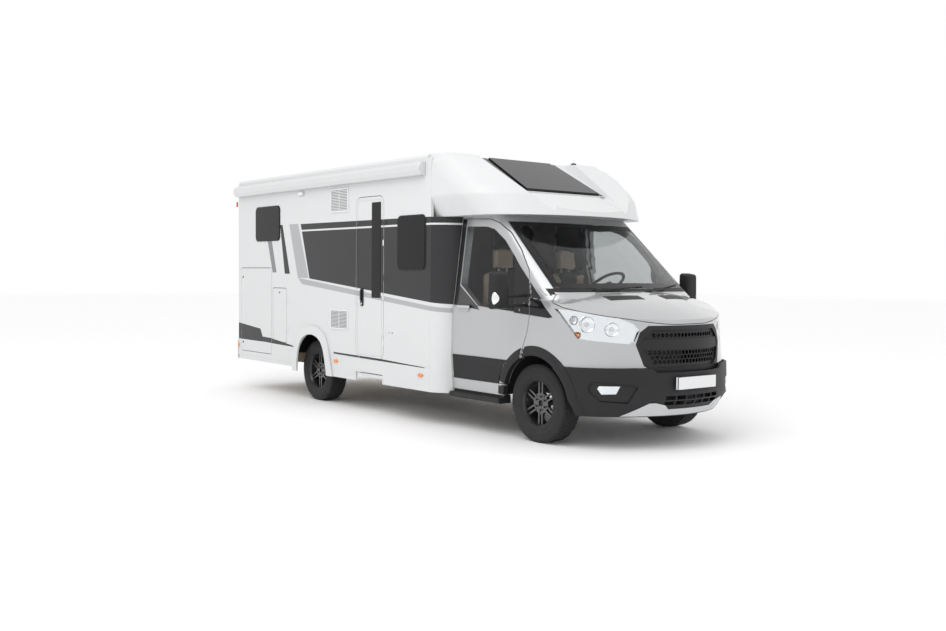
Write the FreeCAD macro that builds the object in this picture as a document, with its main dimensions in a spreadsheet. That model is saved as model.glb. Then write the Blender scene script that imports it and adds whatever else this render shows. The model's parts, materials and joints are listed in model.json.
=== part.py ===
import FreeCAD, Part
import math
import os
import re
import Sketcher

# Semi-integrated motorhome on a front-wheel-drive van chassis.
# Millimetres, +X forward, +Y to the vehicle's left, +Z up.
# The origin lies on the ground under the middle of the overall length and width.

Vector = FreeCAD.Vector
document = FreeCAD.newDocument("Motorhome")

# Driving sizes: places along X, half widths along Y and levels along Z unless the name says otherwise
sizes = {
    # Overall
    "frontAxle": 2450, "wheelBase": 3954, "rearFace": -3500, "halfWidth": 1160,
    "roofLevel": 2800, "wallThick": 34, "seatGap": 0.3, "shutGap": 7,
    # Coach walls, floor and skirts
    "wallFoot": 600, "garageFoot": 440, "garageStep": -2030, "wallFront": 1000,
    "roofFront": 930, "cornerSize": 45, "floorTop": 600, "floorThick": 45,
    "garageFloor": 480, "skirtThick": 22, "skirtFoot": 345, "skirtRearFoot": 388,
    # Openings in the side walls
    "doorBack": -446, "doorFront": 128, "doorFoot": 609, "doorHead": 2420, "doorCorner": 95,
    "garageBack": -3388, "garageFront": -2497, "garageSill": 500, "garageHead": 1627,
    "flapBack": -2463, "flapFront": -2090, "flapSill": 671, "flapHead": 1371,
    "lidCorner": 30, "leafThick": 34,
    "hingeProud": 6, "hingeRadius": 5, "hingeHigh": 60, "hingeFlap": 45, "hingeFlapThick": 5,
    "kitchenBack": 402, "kitchenFront": 906, "kitchenSill": 1609, "kitchenHead": 2174,
    "bedBack": -2937, "bedFront": -2271, "bedSill": 1978, "bedHead": 2413,
    "loungeBack": -760, "loungeFront": 20,
    "windowCorner": 70, "paneThick": 24, "paneProud": 12,
    "stripBack": -115, "stripFront": 69, "stripSill": 1294, "stripHead": 2350, "stripCorner": 12,
    # Rear wheel arch
    "archCentre": -1455, "archHalf": 400, "archTop": 815, "flareWide": 110, "flareProud": 26,
    "wellInner": 745, "wellThick": 8, "wellHalf": 450, "wellTop": 850,
    # Wheels
    "tyreRadius": 367.5, "tyreWidth": 235, "treadHalf": 88, "beadRadius": 210, "rimLip": 222, "tyreGap": 1, "tyreSides": 72,
    "rimWall": 12, "rimHalf": 98, "frontTrack": 875, "rearTrack": 945,
    "hubRadius": 98, "spindleRadius": 30, "spindleEnd": 40,
    "wheelFace": 62, "faceThick": 26, "spokePairs": 6, "spokeWide": 17, "spokeSpread": 22,
    "boltCircle": 80, "boltRadius": 7, "boltCount": 5,
    # Chassis
    "railInner": 430, "railWide": 70, "railHigh": 135, "dropRailHigh": 95, "railBack": -3330,
    "railFront": 3230, "crossWide": 60, "crossHigh": 80,
    "axleRadius": 38, "springHalf": 560, "springWide": 66, "springHigh": 40, "springReach": 460,
    "kingpin": 715, "strutRadius": 27, "strutTop": 900, "pinRadius": 14, "pinClear": 0.3,
    "armLevel": 215, "armThick": 30, "towerThick": 30, "towBoltY": 150, "towBoltZ": 22, "towBoltRadius": 6.5,
    # Cab shell
    "cabBack": 1190, "cabHalf": 1030, "cabFootHalf": 1000, "cabFoot": 400, "beltLevel": 1235,
    "skirtLine": 745, "beltRise": 40, "beltDraw": 8, "shoulderRise": 290, "shoulderDraw": 60, "noseTip": 3450, "noseStart": 2650, "noseRadius": 700, "noseTop": 1150,
    "sheetThick": 32, "bonnetThick": 20, "glassThick": 6,
    "screenFootX": 2810, "screenFootZ": 1400, "screenFootHalf": 985, "screenFootTurn": 390, "screenFootRadius": 280,
    "screenHeadX": 1970, "screenHeadZ": 2100, "screenHeadHalf": 893, "screenHeadTurn": 220, "screenHeadRadius": 125,
    "headerLevel": 2150, "screenSill": 1440, "screenTop": 2085, "screenSide": 880,
    # Cab doors, bonnet, lamps and grille
    "hingeX": 2388, "cabDoorFoot": 512, "cabDoorThick": 58, "postDeep": 46, "postWide": 64, "pillarBase": 2330,
    "bonnetRear": 2625, "lampTopBack": 1272, "lampTopFront": 1128,
    "lampFoot": 985, "grilleHalf": 574, "grilleTop": 1118, "grilleFoot": 703,
    "cabArch": 455, "linerThick": 4, "linerInner": 520, "linerOuter": 930, "linerFoot": 400,
    "dashHalf": 890, "fireWallX": 2515, "fireWallThick": 30, "fireWallTop": 1180, "cabFloorWide": 1940,
    # Bumper
    "bumperTop": 742, "bumperFoot": 300, "bumperTip": 3515, "bumperThick": 26,
    "intakeHalf": 360, "intakeFoot": 400, "intakeHead": 500, "intakeColumns": 6, "intakeRows": 2, "intakeBar": 14,
    "skidHalf": 700, "skidFoot": 292, "skidHornHalf": 498, "skidHorn": 432, "skidLip": 368, "skidProud": 8,
    "podDeep": 14, "podX": 3210, "podY": 820,
    "grilleFrame": 40, "grilleDeep": 20, "meshThick": 12, "meshPitch": 46, "meshWeb": 8,
    "barFoot": 900, "barHead": 996, "slotLong": 150, "slotHigh": 22,
    "sideStepBack": 1200, "sideStepFront": 1985, "sideStepInner": 905, "sideStepOuter": 1062, "sideStepFoot": 318,
    "sideStepTop": 374, "sideStepFlange": 990,
    "plateHalf": 260, "plateHigh": 110, "plateLevel": 605, "plateSink": 7,
    "rearBumperFoot": 385, "rearBumperTop": 640, "rearBumperProud": 30,
    # Over-cab cap
    "capTip": 2240, "capThick": 28, "capTurn": 620, "capSpread": 0.57, "capRound": 0.7, "capSoffit": 25,
    "capMouthHalf": 850, "capMouthFront": 1870, "capTuck": 2, "capRecess": 205, "capUnderCut": 90,
    "roofWindowBack": 1040, "roofWindowFront": 1740, "roofWindowTop": 2785, "roofWindowFoot": 2415,
    "roofWindowBackHalf": 440, "roofWindowFrontHalf": 510, "roofWindowThick": 32, "roofWindowProud": 18,
    "scoopLip": 2190, "scoopLowHalf": 520, "scoopHighHalf": 690,
    # Fittings
    "awningBack": -3440, "awningFront": 900, "awningFoot": 2580, "awningHead": 2720,
    "awningDeep": 92, "stepBack": -430, "stepFront": 95, "stepLevel": 400, "stepThick": 38,
    "stepDeep": 300, "runnerRadius": 8, "runnerEnd": 505, "guideThick": 20, "mirrorReach": 1425, "mirrorWide": 185,
    "mirrorX": 2290, "mirrorFoot": 1240, "mirrorHead": 1600,
}

sheet = document.addObject("Spreadsheet::Sheet", "Sizes")
for row, (alias, amount) in enumerate(sizes.items(), start=1):
    sheet.set("A%d" % row, alias)
    sheet.set("B%d" % row, str(amount))
    sheet.setAlias("B%d" % row, alias)
document.recompute()


class SheetValues:
    """Every size as a number, read back from the sheet."""


s = SheetValues()
for alias in sizes:
    setattr(s, alias, float(sheet.get(alias)))
s.rearAxle = s.frontAxle - s.wheelBase
s.axleLevel = s.tyreRadius
s.capFoot = s.headerLevel + s.seatGap
s.linerRadius = s.strutTop - s.towerThick - s.seatGap - s.linerThick - s.axleLevel

nodes = {}
right, left = -1, 1


# Tools for parts bound to the sheet

def bound(text):
    """An expression on the sheet, from one written with the bare names of sizes."""
    return re.sub(r"[A-Za-z_]\w*",
                  lambda m: "Sizes." + m.group() if m.group() in sizes else m.group(), str(text))


def keep(label, thing):
    """Name a finished sub-part, so that it is checked and written."""
    thing.Label = label
    nodes[label] = thing
    return thing


def add(kind, label):
    return document.addObject(kind, label)


def moveTo(thing, x, y, z):
    for axis, text in zip("xyz", (x, y, z)):
        thing.setExpression("Placement.Base." + axis, bound(text))


def block(label, x, y, z, length, width, height):
    """A box from its lowest corner; every place and size is an expression."""
    box = add("Part::Box", label)
    for name, text in (("Length", length), ("Width", width), ("Height", height)):
        box.setExpression(name, bound(text))
    moveTo(box, x, y, z)
    return box


def rod(label, x, y, z, radius, length, axis=(0, 0, 1)):
    """A round bar from the middle of its first end, along an axis."""
    bar = add("Part::Cylinder", label)
    bar.Placement.Rotation = FreeCAD.Rotation(Vector(0, 0, 1), Vector(*axis))
    bar.setExpression("Radius", bound(radius))
    bar.setExpression("Height", bound(length))
    moveTo(bar, x, y, z)
    return bar


def joined(label, parts):
    fuse = add("Part::MultiFuse", label)
    fuse.Shapes = parts
    fuse.Refine = True
    return fuse


def gathered(label, parts):
    """Like pieces that share a sub-part without touching."""
    group = add("Part::Compound", label)
    group.Links = parts
    return group


def without(label, base, tool):
    cut = add("Part::Cut", label)
    cut.Base = base
    cut.Tool = tool
    return cut


def within(label, base, tool):
    common = add("Part::Common", label)
    common.Base = base
    common.Tool = tool
    return common


def mirrored(label, source):
    """The same piece on the other side of the vehicle."""
    mirror = add("Part::Mirroring", label)
    mirror.Source = source
    mirror.Normal = Vector(0, 1, 0)
    return mirror


def shaped(label, shape):
    """A piece that only the shape functions can make, from sizes read from the sheet."""
    feature = add("Part::Feature", label)
    feature.Shape = shape
    return feature


def sketchOn(body, plane, place):
    """A sketch on one of the body's own planes, moved along X, Y or Z to its place."""
    sketch = body.newObject("Sketcher::SketchObject", body.Name + "Outline")
    support = [p for p in body.Origin.OriginFeatures if p.Role == plane + "_Plane"][0]
    sketch.AttachmentSupport = (support, [""])
    sketch.MapMode = "FlatFace"
    sign = "-1" if plane == "XZ" else "1"
    sketch.setExpression("AttachmentOffset.Base.z", "%s * (%s)" % (sign, bound(place)))
    return sketch


def drawCorners(sketch, corners):
    """A closed outline of straight lines, each corner tied to the sheet by two distances."""
    count = len(corners)
    first = sketch.GeometryCount
    for i in range(count):
        a, b = (2 * math.pi * k / count for k in (i, i + 1))
        sketch.addGeometry(Part.LineSegment(Vector(math.cos(a), math.sin(a), 0),
                                            Vector(math.cos(b), math.sin(b), 0)))
    for i in range(count):
        sketch.addConstraint(Sketcher.Constraint("Coincident", first + i, 2, first + (i + 1) % count, 1))
    for i, corner in enumerate(corners):
        for kind, text in zip(("DistanceX", "DistanceY"), corner):
            index = sketch.addConstraint(Sketcher.Constraint(kind, -1, 1, first + i, 1, 0))
            sketch.setExpression("Constraints[%d]" % index, bound(text))


def drawCircle(sketch, x, y, radius):
    sketch.addGeometry(Part.Circle(Vector(0, 0, 0), Vector(0, 0, 1), 10))
    circle = sketch.GeometryCount - 1
    for kind, text in (("DistanceX", x), ("DistanceY", y)):
        index = sketch.addConstraint(Sketcher.Constraint(kind, -1, 1, circle, 3, 0))
        sketch.setExpression("Constraints[%d]" % index, bound(text))
    index = sketch.addConstraint(Sketcher.Constraint("Radius", circle, 10))
    sketch.setExpression("Constraints[%d]" % index, bound(radius))


def padOf(body, sketch, length):
    pad = body.newObject("PartDesign::Pad", body.Name + "Pad")
    pad.Profile = sketch
    pad.setExpression("Length", bound(length))
    document.recompute()
    return pad


def pocketOf(body, sketch):
    """A hole right through, both ways from its sketch."""
    pocket = body.newObject("PartDesign::Pocket", body.Name + "Hole")
    pocket.Profile = sketch
    pocket.Type = "ThroughAll"
    pocket.SideType = "Symmetric"
    document.recompute()
    return pocket


def roundOff(body, sketch, radius, chosen=None):
    """Round the edges that stand on the corners of an outline."""
    shape = body.Tip.Shape
    normal = sketch.Placement.Rotation.multVec(Vector(0, 0, 1))
    names = []
    corners = [sketch.Placement.multVec(line.StartPoint) for line in sketch.Geometry]
    corners = corners if chosen is None else [corners[i] for i in chosen]
    for i, edge in enumerate(shape.Edges, start=1):
        if len(edge.Vertexes) != 2 or edge.Curve.TypeId != "Part::GeomLine":
            continue
        start, end = (v.Point for v in edge.Vertexes)
        if (end - start).cross(normal).Length > 1e-6 * (end - start).Length:
            continue
        if any((start - c).cross(normal).Length < 1e-3 for c in corners):
            names.append("Edge%d" % i)
    base = body.Tip
    fillet = body.newObject("PartDesign::Fillet", body.Name + "Round")
    fillet.Base = (base, names)
    fillet.setExpression("Radius", bound(radius))
    body.Tip = fillet
    document.recompute()
    return fillet


def panel(label, plane, place, thick, corners, holes=(), radius=None, chosen=None):
    """A flat panel with rounded corners and openings; a hole is its corners and its radius."""
    body = add("PartDesign::Body", label)
    sketch = sketchOn(body, plane, place)
    drawCorners(sketch, corners)
    padOf(body, sketch, thick)
    if radius:
        roundOff(body, sketch, radius, chosen)
    for hole, corner in holes:
        sketch = sketchOn(body, plane, place)
        drawCorners(sketch, hole)
        pocketOf(body, sketch)
        if corner:
            roundOff(body, sketch, corner)
    return body


def rectangle(back, front, foot, head, margin="0"):
    """The corners of an upright rectangle, drawn in by a margin."""
    low, high = ["(%s) + (%s)" % (p, margin) for p in (back, foot)], ["(%s) - (%s)" % (p, margin) for p in (front, head)]
    return [(low[0], low[1]), (high[0], low[1]), (high[0], high[1]), (low[0], high[1])]


def prism(corners, plane, low, high):
    """A solid block with an outline in XZ, YZ or XY, from one place to another across it."""
    lift = {"XZ": lambda a, b: Vector(a, low, b), "YZ": lambda a, b: Vector(low, a, b),
            "XY": lambda a, b: Vector(a, b, low)}[plane]
    along = {"XZ": Vector(0, 1, 0), "YZ": Vector(1, 0, 0), "XY": Vector(0, 0, 1)}[plane]
    points = [lift(a, b) for a, b in corners]
    return Part.Face(Part.makePolygon(points + points[:1])).extrude(along * (high - low))


def blend(a, b, share):
    return a + (b - a) * share


# Coach shell

def makeCornerMouldings():
    """Quarter-round mouldings that join walls and roof along the rear corners and the roof's edge."""
    body = add("PartDesign::Body", "cornerBlock")
    sketch = sketchOn(body, "YZ", "rearFace")
    drawCorners(sketch, [("-halfWidth", "garageFoot"), ("halfWidth", "garageFoot"),
                         ("halfWidth", "roofLevel"), ("-halfWidth", "roofLevel")])
    pad = padOf(body, sketch, "roofFront - rearFace")
    shape = pad.Shape
    names = []
    for i, edge in enumerate(shape.Edges, start=1):
        box = edge.BoundBox
        roofEdge = box.ZMin > s.roofLevel - 1 and (box.XLength > 1 or box.XMax < s.rearFace + 1)
        rearCorner = box.ZLength > 1 and box.XMax < s.rearFace + 1
        if roofEdge or rearCorner:
            names.append("Edge%d" % i)
    fillet = body.newObject("PartDesign::Fillet", "cornerRound")
    fillet.Base = (pad, names)
    fillet.setExpression("Radius", bound("cornerSize - 1"))
    document.recompute()
    span = "2 * halfWidth + 200"
    inner = "rearFace + cornerSize"
    sideways = block("betweenWalls", inner, "-halfWidth - 100", "garageFoot - 100",
                     "roofFront - rearFace", span, "roofLevel - garageFoot + 100 - cornerSize")
    lengthways = block("betweenSides", "rearFace - 100", "-halfWidth + cornerSize", "garageFoot - 100",
                       "roofFront - rearFace + 200", "2 * (halfWidth - cornerSize)",
                       "roofLevel - garageFoot + 100 - cornerSize")
    upright = block("underRoof", inner, "-halfWidth + cornerSize", "garageFoot - 100",
                    "roofFront - rearFace", "2 * (halfWidth - cornerSize)", "roofLevel")
    keep("corner_mouldings", without("cornerFrame", body, joined("cornerInside", [sideways, lengthways, upright])))


def wallOutline():
    """The side wall from behind: foot, arch and steps are cut from this."""
    back = "rearFace + cornerSize"
    return [(back, "garageFoot"), ("garageStep", "garageFoot"), ("garageStep", "wallFoot"),
            ("wallFront", "wallFoot"), ("wallFront", "roofLevel - cornerSize"),
            (back, "roofLevel - cornerSize")]


def hingeLevels(foot, head, count):
    """Levels of the lower ends of the hinges, spread over a leaf's height."""
    shares = [(i + 0.5) / count for i in range(count)]
    return ["(%s) + ((%s) - (%s)) * %.3f - hingeHigh / 2" % (foot, head, foot, share) for share in shares]


def hingeSide(side, inner):
    """The lower Y place of a hinge's flap on a wall's face."""
    return "halfWidth" if side == left else "-halfWidth - hingeFlapThick"


def wallFlaps(name, side, axis, levels):
    """The fixed halves of the hinges: flaps on the wall, just clear of the pins."""
    return [block("%sFlap%d" % (name, i), "%s + hingeRadius + seatGap" % axis, hingeSide(side, True), level,
                  "hingeFlap - hingeRadius", "hingeFlapThick", "hingeHigh") for i, level in enumerate(levels)]


def leafHinges(name, side, axis, levels):
    """The moving halves: flaps on the leaf, each with its pin."""
    parts = []
    for i, level in enumerate(levels):
        parts.append(block("%sLeafFlap%d" % (name, i), "%s - hingeFlap" % axis, hingeSide(side, False), level,
                           "hingeFlap", "hingeFlapThick", "hingeHigh"))
        parts.append(rod("%sPin%d" % (name, i), axis, "%s * (halfWidth + hingeProud)" % side, level,
                         "hingeRadius", "hingeHigh"))
    return parts


hingeSets = {
    "entry": ("doorFront", hingeLevels("doorFoot", "doorHead", 3)),
    "garage": ("garageFront", hingeLevels("garageSill", "garageHead", 2)),
    "flap": ("flapFront", hingeLevels("flapSill", "flapHead", 2)),
}


def makeWalls():
    garage = rectangle("garageBack", "garageFront", "garageSill", "garageHead")
    flap = rectangle("flapBack", "flapFront", "flapSill", "flapHead")
    kitchen = rectangle("kitchenBack", "kitchenFront", "kitchenSill", "kitchenHead")
    bed = rectangle("bedBack", "bedFront", "bedSill", "bedHead")
    door = rectangle("doorBack", "doorFront", "doorFoot", "doorHead")
    lounge = rectangle("loungeBack", "loungeFront", "kitchenSill", "kitchenHead")
    common = [(garage, "lidCorner"), (kitchen, "windowCorner"), (bed, "windowCorner")]
    for side, label in ((right, "wall_right"), (left, "wall_left")):
        place = "-halfWidth" if side == right else "halfWidth - wallThick"
        holes = common + ([(door, "doorCorner"), (flap, "lidCorner")] if side == right
                          else [(lounge, "windowCorner")])
        body = panel(label, "XZ", "(%s) + wallThick" % place, "wallThick", wallOutline(), holes)
        sketch = sketchOn(body, "XZ", place)
        drawCircle(sketch, "archCentre", "archTop - archHalf", "archHalf + 20")
        pocketOf(body, sketch)
        flaps = []
        for name in ("entry", "garage", "flap") if side == right else ("garage",):
            flaps += wallFlaps("%s%s" % (name, label[-5:]), side, *hingeSets[name])
        keep(label, joined(label, [body] + flaps))


def makeRearWall():
    half = "halfWidth - cornerSize"
    corners = [("-(%s)" % half, "garageFoot"), (half, "garageFoot"),
               (half, "roofLevel - cornerSize"), ("-(%s)" % half, "roofLevel - cornerSize")]
    keep("wall_rear", panel("wall_rear", "YZ", "rearFace", "wallThick", corners))


hatchPlaces = (("-900", "-200", "-250", "250"), ("-2900", "-2500", "-200", "200"))


def makeRoof():
    half = "halfWidth - cornerSize"
    corners = [("rearFace + cornerSize", "-(%s)" % half), ("roofFront", "-(%s)" % half),
               ("roofFront", half), ("rearFace + cornerSize", half)]
    holes = []
    for back, front, low, high in hatchPlaces:
        holes.append(([(back, low), (front, low), (front, high), (back, high)], "lidCorner"))
    keep("roof_deck", panel("roof_deck", "XY", "roofLevel - wallThick", "wallThick", corners, holes))


def makeRoofHatches():
    parts = []
    for i, (back, front, low, high) in enumerate(hatchPlaces):
        rim = panel("hatchRim%d" % i, "XY", "roofLevel + seatGap", "28",
                    [("%s - 40" % back, "%s - 40" % low), ("%s + 40" % front, "%s - 40" % low),
                     ("%s + 40" % front, "%s + 40" % high), ("%s - 40" % back, "%s + 40" % high)],
                    [([(back, low), (front, low), (front, high), (back, high)], "lidCorner")], "lidCorner")
        dome = panel("hatchDome%d" % i, "XY", "roofLevel + seatGap + 28", "45",
                     [("%s - 20" % back, "%s - 20" % low), ("%s + 20" % front, "%s - 20" % low),
                      ("%s + 20" % front, "%s + 20" % high), ("%s - 20" % back, "%s + 20" % high)],
                     (), "windowCorner")
        parts.append(joined("hatch%d" % i, [rim, dome]))
    keep("roof_hatches", gathered("roof_hatches", parts))


def makeFloor():
    inside = "halfWidth - wallThick - seatGap"
    main = block("floorMain", "garageStep", "-(%s)" % inside, "floorTop - floorThick",
                 "wallFront - garageStep", "2 * (%s)" % inside, "floorThick")
    garage = block("floorGarage", "rearFace + cornerSize + seatGap", "-(%s)" % inside,
                   "garageFloor - floorThick", "garageStep - rearFace - cornerSize - seatGap",
                   "2 * (%s)" % inside, "floorThick")
    riser = block("floorRiser", "garageStep", "-(%s)" % inside, "garageFloor - floorThick",
                  "floorThick", "2 * (%s)" % inside, "floorTop - garageFloor + floorThick")
    cuts = [block("floorWell%d" % side, "frontAxle - wheelBase - wellHalf",
                  "wellInner" if side == left else "-wellInner - 500", "floorTop - floorThick - 10",
                  "2 * wellHalf", "500", "floorThick + 20") for side in (right, left)]
    rails = [block("floorRail%d" % side, "garageStep - 10",
                   "railInner - 1" if side == left else "-railInner - railWide - 1",
                   "garageFloor - floorThick - 10", "floorThick + 20", "railWide + 2",
                   "floorTop - garageFloor + 10") for side in (right, left)]
    keep("floor_deck", without("floor_deck", joined("floorSlabs", [main, garage, riser]),
                               joined("floorCuts", cuts + rails)))


def makeWheelWells():
    """Plastic boxes over the rear tyres, open to the arch and below."""
    wells = []
    for side in (right, left):
        low = "wellInner" if side == left else "-halfWidth + wallThick + seatGap"
        wide = "halfWidth - wallThick - seatGap - wellInner"
        axle = "frontAxle - wheelBase"
        outer = block("wellOuter%d" % side, "%s - wellHalf + seatGap" % axle, low, "floorTop - floorThick",
                      "2 * (wellHalf - seatGap)", wide, "wellTop - floorTop + floorThick")
        innerLow = "wellInner + wellThick" if side == left else "-halfWidth"
        inner = block("wellInner%d" % side, "%s - wellHalf + wellThick" % axle, innerLow,
                      "floorTop - floorThick - 10", "2 * (wellHalf - wellThick)",
                      "halfWidth - wellInner - wellThick", "wellTop - floorTop + floorThick + 10 - wellThick")
        wells.append(without("well%d" % side, outer, inner))
    keep("wheel_housings", gathered("wheel_housings", wells + [frontLiner(side) for side in (right, left)]))


def frontLiner(side):
    """A rounded housing over a front tyre, open to the arch and below, with a hole for the strut."""
    low, high = (s.linerInner, s.linerOuter) if side == left else (-s.linerOuter, -s.linerInner)
    outer = archRound(s.linerRadius + s.linerThick, low, high)
    room = (low + s.linerThick, high + 100) if side == left else (low - 100, high - s.linerThick)
    shell = outer.cut(archRound(s.linerRadius, *room))
    wide = 2 * (s.linerRadius + 20)
    shell = shell.cut(Part.makeBox(wide, 3000, 1000, Vector(s.frontAxle - wide / 2, -1500, s.linerFoot - 1000)))
    strut = Part.makeCylinder(s.strutRadius + 6, 1000, Vector(s.frontAxle, side * s.kingpin, s.axleLevel))
    return shaped("liner%d" % side, shell.cut(strut))


def makeInnerPanels():
    """The garage bulkhead, the bed base and the head-high lockers that show through the windows."""
    inside = "halfWidth - wallThick - seatGap"
    bulkhead = block("bulkhead", "(flapBack + garageFront) / 2 - 9", "-(%s)" % inside,
                     "garageFloor", "18", "2 * (%s)" % inside, "garageHead + 20 - garageFloor")
    locker = block("lockerWall", "garageStep + floorThick", "-(%s)" % inside, "floorTop", "18",
                   "2 * (%s)" % inside, "garageHead + 20 - floorTop")
    base = block("bedBase", "rearFace + cornerSize + seatGap", "-(%s)" % inside, "garageHead + 20",
                 "garageStep + floorThick + 18 - rearFace - cornerSize - seatGap", "2 * (%s)" % inside, "30")
    keep("bed_platform", joined("bed_platform", [bulkhead, locker, base]))


def makeSkirts():
    """Moulded skirts below both walls, stopped round the wheel arch and the entry step."""
    pieces = []
    for side in (right, left):
        place = "-halfWidth + 2" if side == right else "halfWidth - 2 - skirtThick"
        arch = "archCentre + archHalf + 20"
        front = panel("skirtFront%d" % side, "XZ", "(%s) + skirtThick" % place, "skirtThick",
                      [(arch, "skirtFoot"), ("wallFront", "skirtFoot"),
                       ("wallFront", "wallFoot"), (arch, "wallFoot")],
                      [(rectangle("stepBack - 14", "stepFront + 12", "skirtFoot - 50", "stepLevel + 48"), None)]
                      if side == right else ())
        rear = panel("skirtRear%d" % side, "XZ", "(%s) + skirtThick" % place, "skirtThick",
                     [("rearFace + cornerSize", "skirtRearFoot"), ("archCentre - archHalf - 20", "skirtRearFoot"),
                      ("archCentre - archHalf - 20", "wallFoot"), ("garageStep", "wallFoot"),
                      ("garageStep", "garageFoot"), ("rearFace + cornerSize", "garageFoot")])
        pieces += [front, rear]
    keep("skirts", gathered("skirts", pieces))


def makeArchFlares():
    """Raised white trims round the rear wheel openings."""
    def ring(side):
        low = -s.halfWidth - s.flareProud if side == right else s.halfWidth + s.seatGap
        high = -s.halfWidth - s.seatGap if side == right else s.halfWidth + s.flareProud

        def arch(half, top, foot):
            """Up one side, over the top in one curve and down the other."""
            x, y = s.archCentre, low
            curve = Part.BSplineCurve()
            curve.interpolate([Vector(x - half, y, foot), Vector(x - half * 0.98, y, foot + 150),
                               Vector(x - half * 0.66, y, top - (top - foot) * 0.16), Vector(x, y, top),
                               Vector(x + half * 0.70, y, top - (top - foot) * 0.17),
                               Vector(x + half * 1.02, y, foot + 150), Vector(x + half * 1.12, y, foot)])
            edge = curve.toShape()
            closing = Part.makeLine(edge.Vertexes[1].Point, edge.Vertexes[0].Point)
            return Part.Face(Part.Wire([edge, closing])).extrude(Vector(0, high - low, 0))
        outer = arch(s.archHalf + s.flareWide * 0.5, s.archTop + s.flareWide, s.skirtFoot)
        inner = arch(s.archHalf - s.flareWide * 0.5, s.archTop, s.skirtFoot - 1)
        return outer.cut(inner)
    pieces = [ring(side) for side in (right, left)]
    keep("arch_flares", shaped("arch_flares", Part.makeCompound(pieces)))


def makeRearBumper():
    half = "halfWidth - 4"
    back = "rearFace - rearBumperProud"
    outer = panel("bumperBack", "XY", "rearBumperFoot", "rearBumperTop - rearBumperFoot",
                  [(back, "-(%s)" % half), ("rearFace - seatGap", "-(%s)" % half),
                   ("rearFace - seatGap", half), (back, half)], (), "rearBumperProud - 2", (0, 3))
    under = block("bumperUnder", "rearFace - seatGap", "-(halfWidth - 40)", "rearBumperFoot",
                  "150", "2 * (halfWidth - 40)", "20")
    keep("rear_bumper", joined("rear_bumper", [outer, under]))
    lamps = [block("tailLamp%d" % side, "rearFace - rearBumperProud + 2",
                   "halfWidth - 300" if side == left else "-halfWidth + 60", "rearBumperTop + seatGap",
                   "rearBumperProud - 2 - seatGap", "240", "110") for side in (right, left)]
    lamps.append(block("brakeLamp", "rearFace - 14", "-160", "roofLevel - 120", "14 - seatGap", "320", "34"))
    keep("tail_lamps", gathered("tail_lamps", lamps))


# Lids, doors and windows of the coach

def makeLid(label, place, back, front, foot, head, corner, hole=None):
    """A leaf as thick as the wall, with a shut gap round it, its outer face in the wall's face."""
    leaf = rectangle(back, front, foot, head, "shutGap")
    holes = [(hole, "stripCorner")] if hole else ()
    return panel(label, "XZ", "(%s) + leafThick" % place, "leafThick", leaf, holes, "(%s) - shutGap" % corner)


def makeLids():
    outerRight, outerLeft = "-halfWidth", "halfWidth - leafThick"
    strip = rectangle("stripBack", "stripFront", "stripSill", "stripHead")
    leaf = makeLid("entryLeaf", outerRight, "doorBack", "doorFront", "doorFoot", "doorHead", "doorCorner", strip)
    keep("entry_door", joined("entry_door", [leaf] + leafHinges("entry", right, *hingeSets["entry"])))
    pane = panel("entry_window", "XZ", "-halfWidth - 4 + paneThick", "paneThick",
                 rectangle("stripBack", "stripFront", "stripSill", "stripHead", "seatGap"),
                 (), "stripCorner - seatGap")
    keep("entry_window", pane)
    for side, label in ((right, "garage_door_right"), (left, "garage_door_left")):
        place = outerRight if side == right else outerLeft
        leaf = makeLid("garageLeaf%d" % side, place, "garageBack", "garageFront", "garageSill", "garageHead", "lidCorner")
        keep(label, joined(label, [leaf] + leafHinges("garage%d" % side, side, *hingeSets["garage"])))
    leaf = makeLid("flapLeaf", outerRight, "flapBack", "flapFront", "flapSill", "flapHead", "lidCorner")
    keep("service_flap", joined("service_flap", [leaf] + leafHinges("flap", right, *hingeSets["flap"])))


def makeCoachWindows():
    """Hinged acrylic panes in frames: one solid for each opening, proud of the wall."""
    kitchen = ("kitchenBack", "kitchenFront", "kitchenSill", "kitchenHead")
    bed = ("bedBack", "bedFront", "bedSill", "bedHead")
    lounge = ("loungeBack", "loungeFront", "kitchenSill", "kitchenHead")
    panes = []
    for name, side, edges in (("kitchen", right, kitchen), ("bed", right, bed), ("kitchen", left, kitchen),
                              ("bed", left, bed), ("lounge", left, lounge)):
        place = "-halfWidth - paneProud" if side == right else "halfWidth + paneProud - paneThick"
        panes.append(panel("%sPane%d" % (name, side), "XZ", "(%s) + paneThick" % place, "paneThick",
                           rectangle(*edges, margin="seatGap"), (), "windowCorner - seatGap"))
    keep("coach_windows", gathered("coach_windows", panes))


def makeFittings():
    awning = panel("awning_cassette", "YZ", "awningBack", "awningFront - awningBack",
                   [("-halfWidth - awningDeep", "awningFoot + 45"), ("-halfWidth - awningDeep + 30", "awningFoot"),
                    ("-halfWidth - seatGap", "awningFoot"), ("-halfWidth - seatGap", "awningHead"),
                    ("-halfWidth - awningDeep + 40", "awningHead"), ("-halfWidth - awningDeep", "awningHead - 40")])
    keep("awning_cassette", awning)
    vents = []
    for i, foot in enumerate(("910", "2271")):
        high = "230" if i == 0 else "274"
        vents.append(block("vent%d" % i, "-1005", "-halfWidth - 10 - seatGap", foot, "402", "10", high))
    keep("service_vents", gathered("service_vents", vents))
    makeStep()


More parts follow.
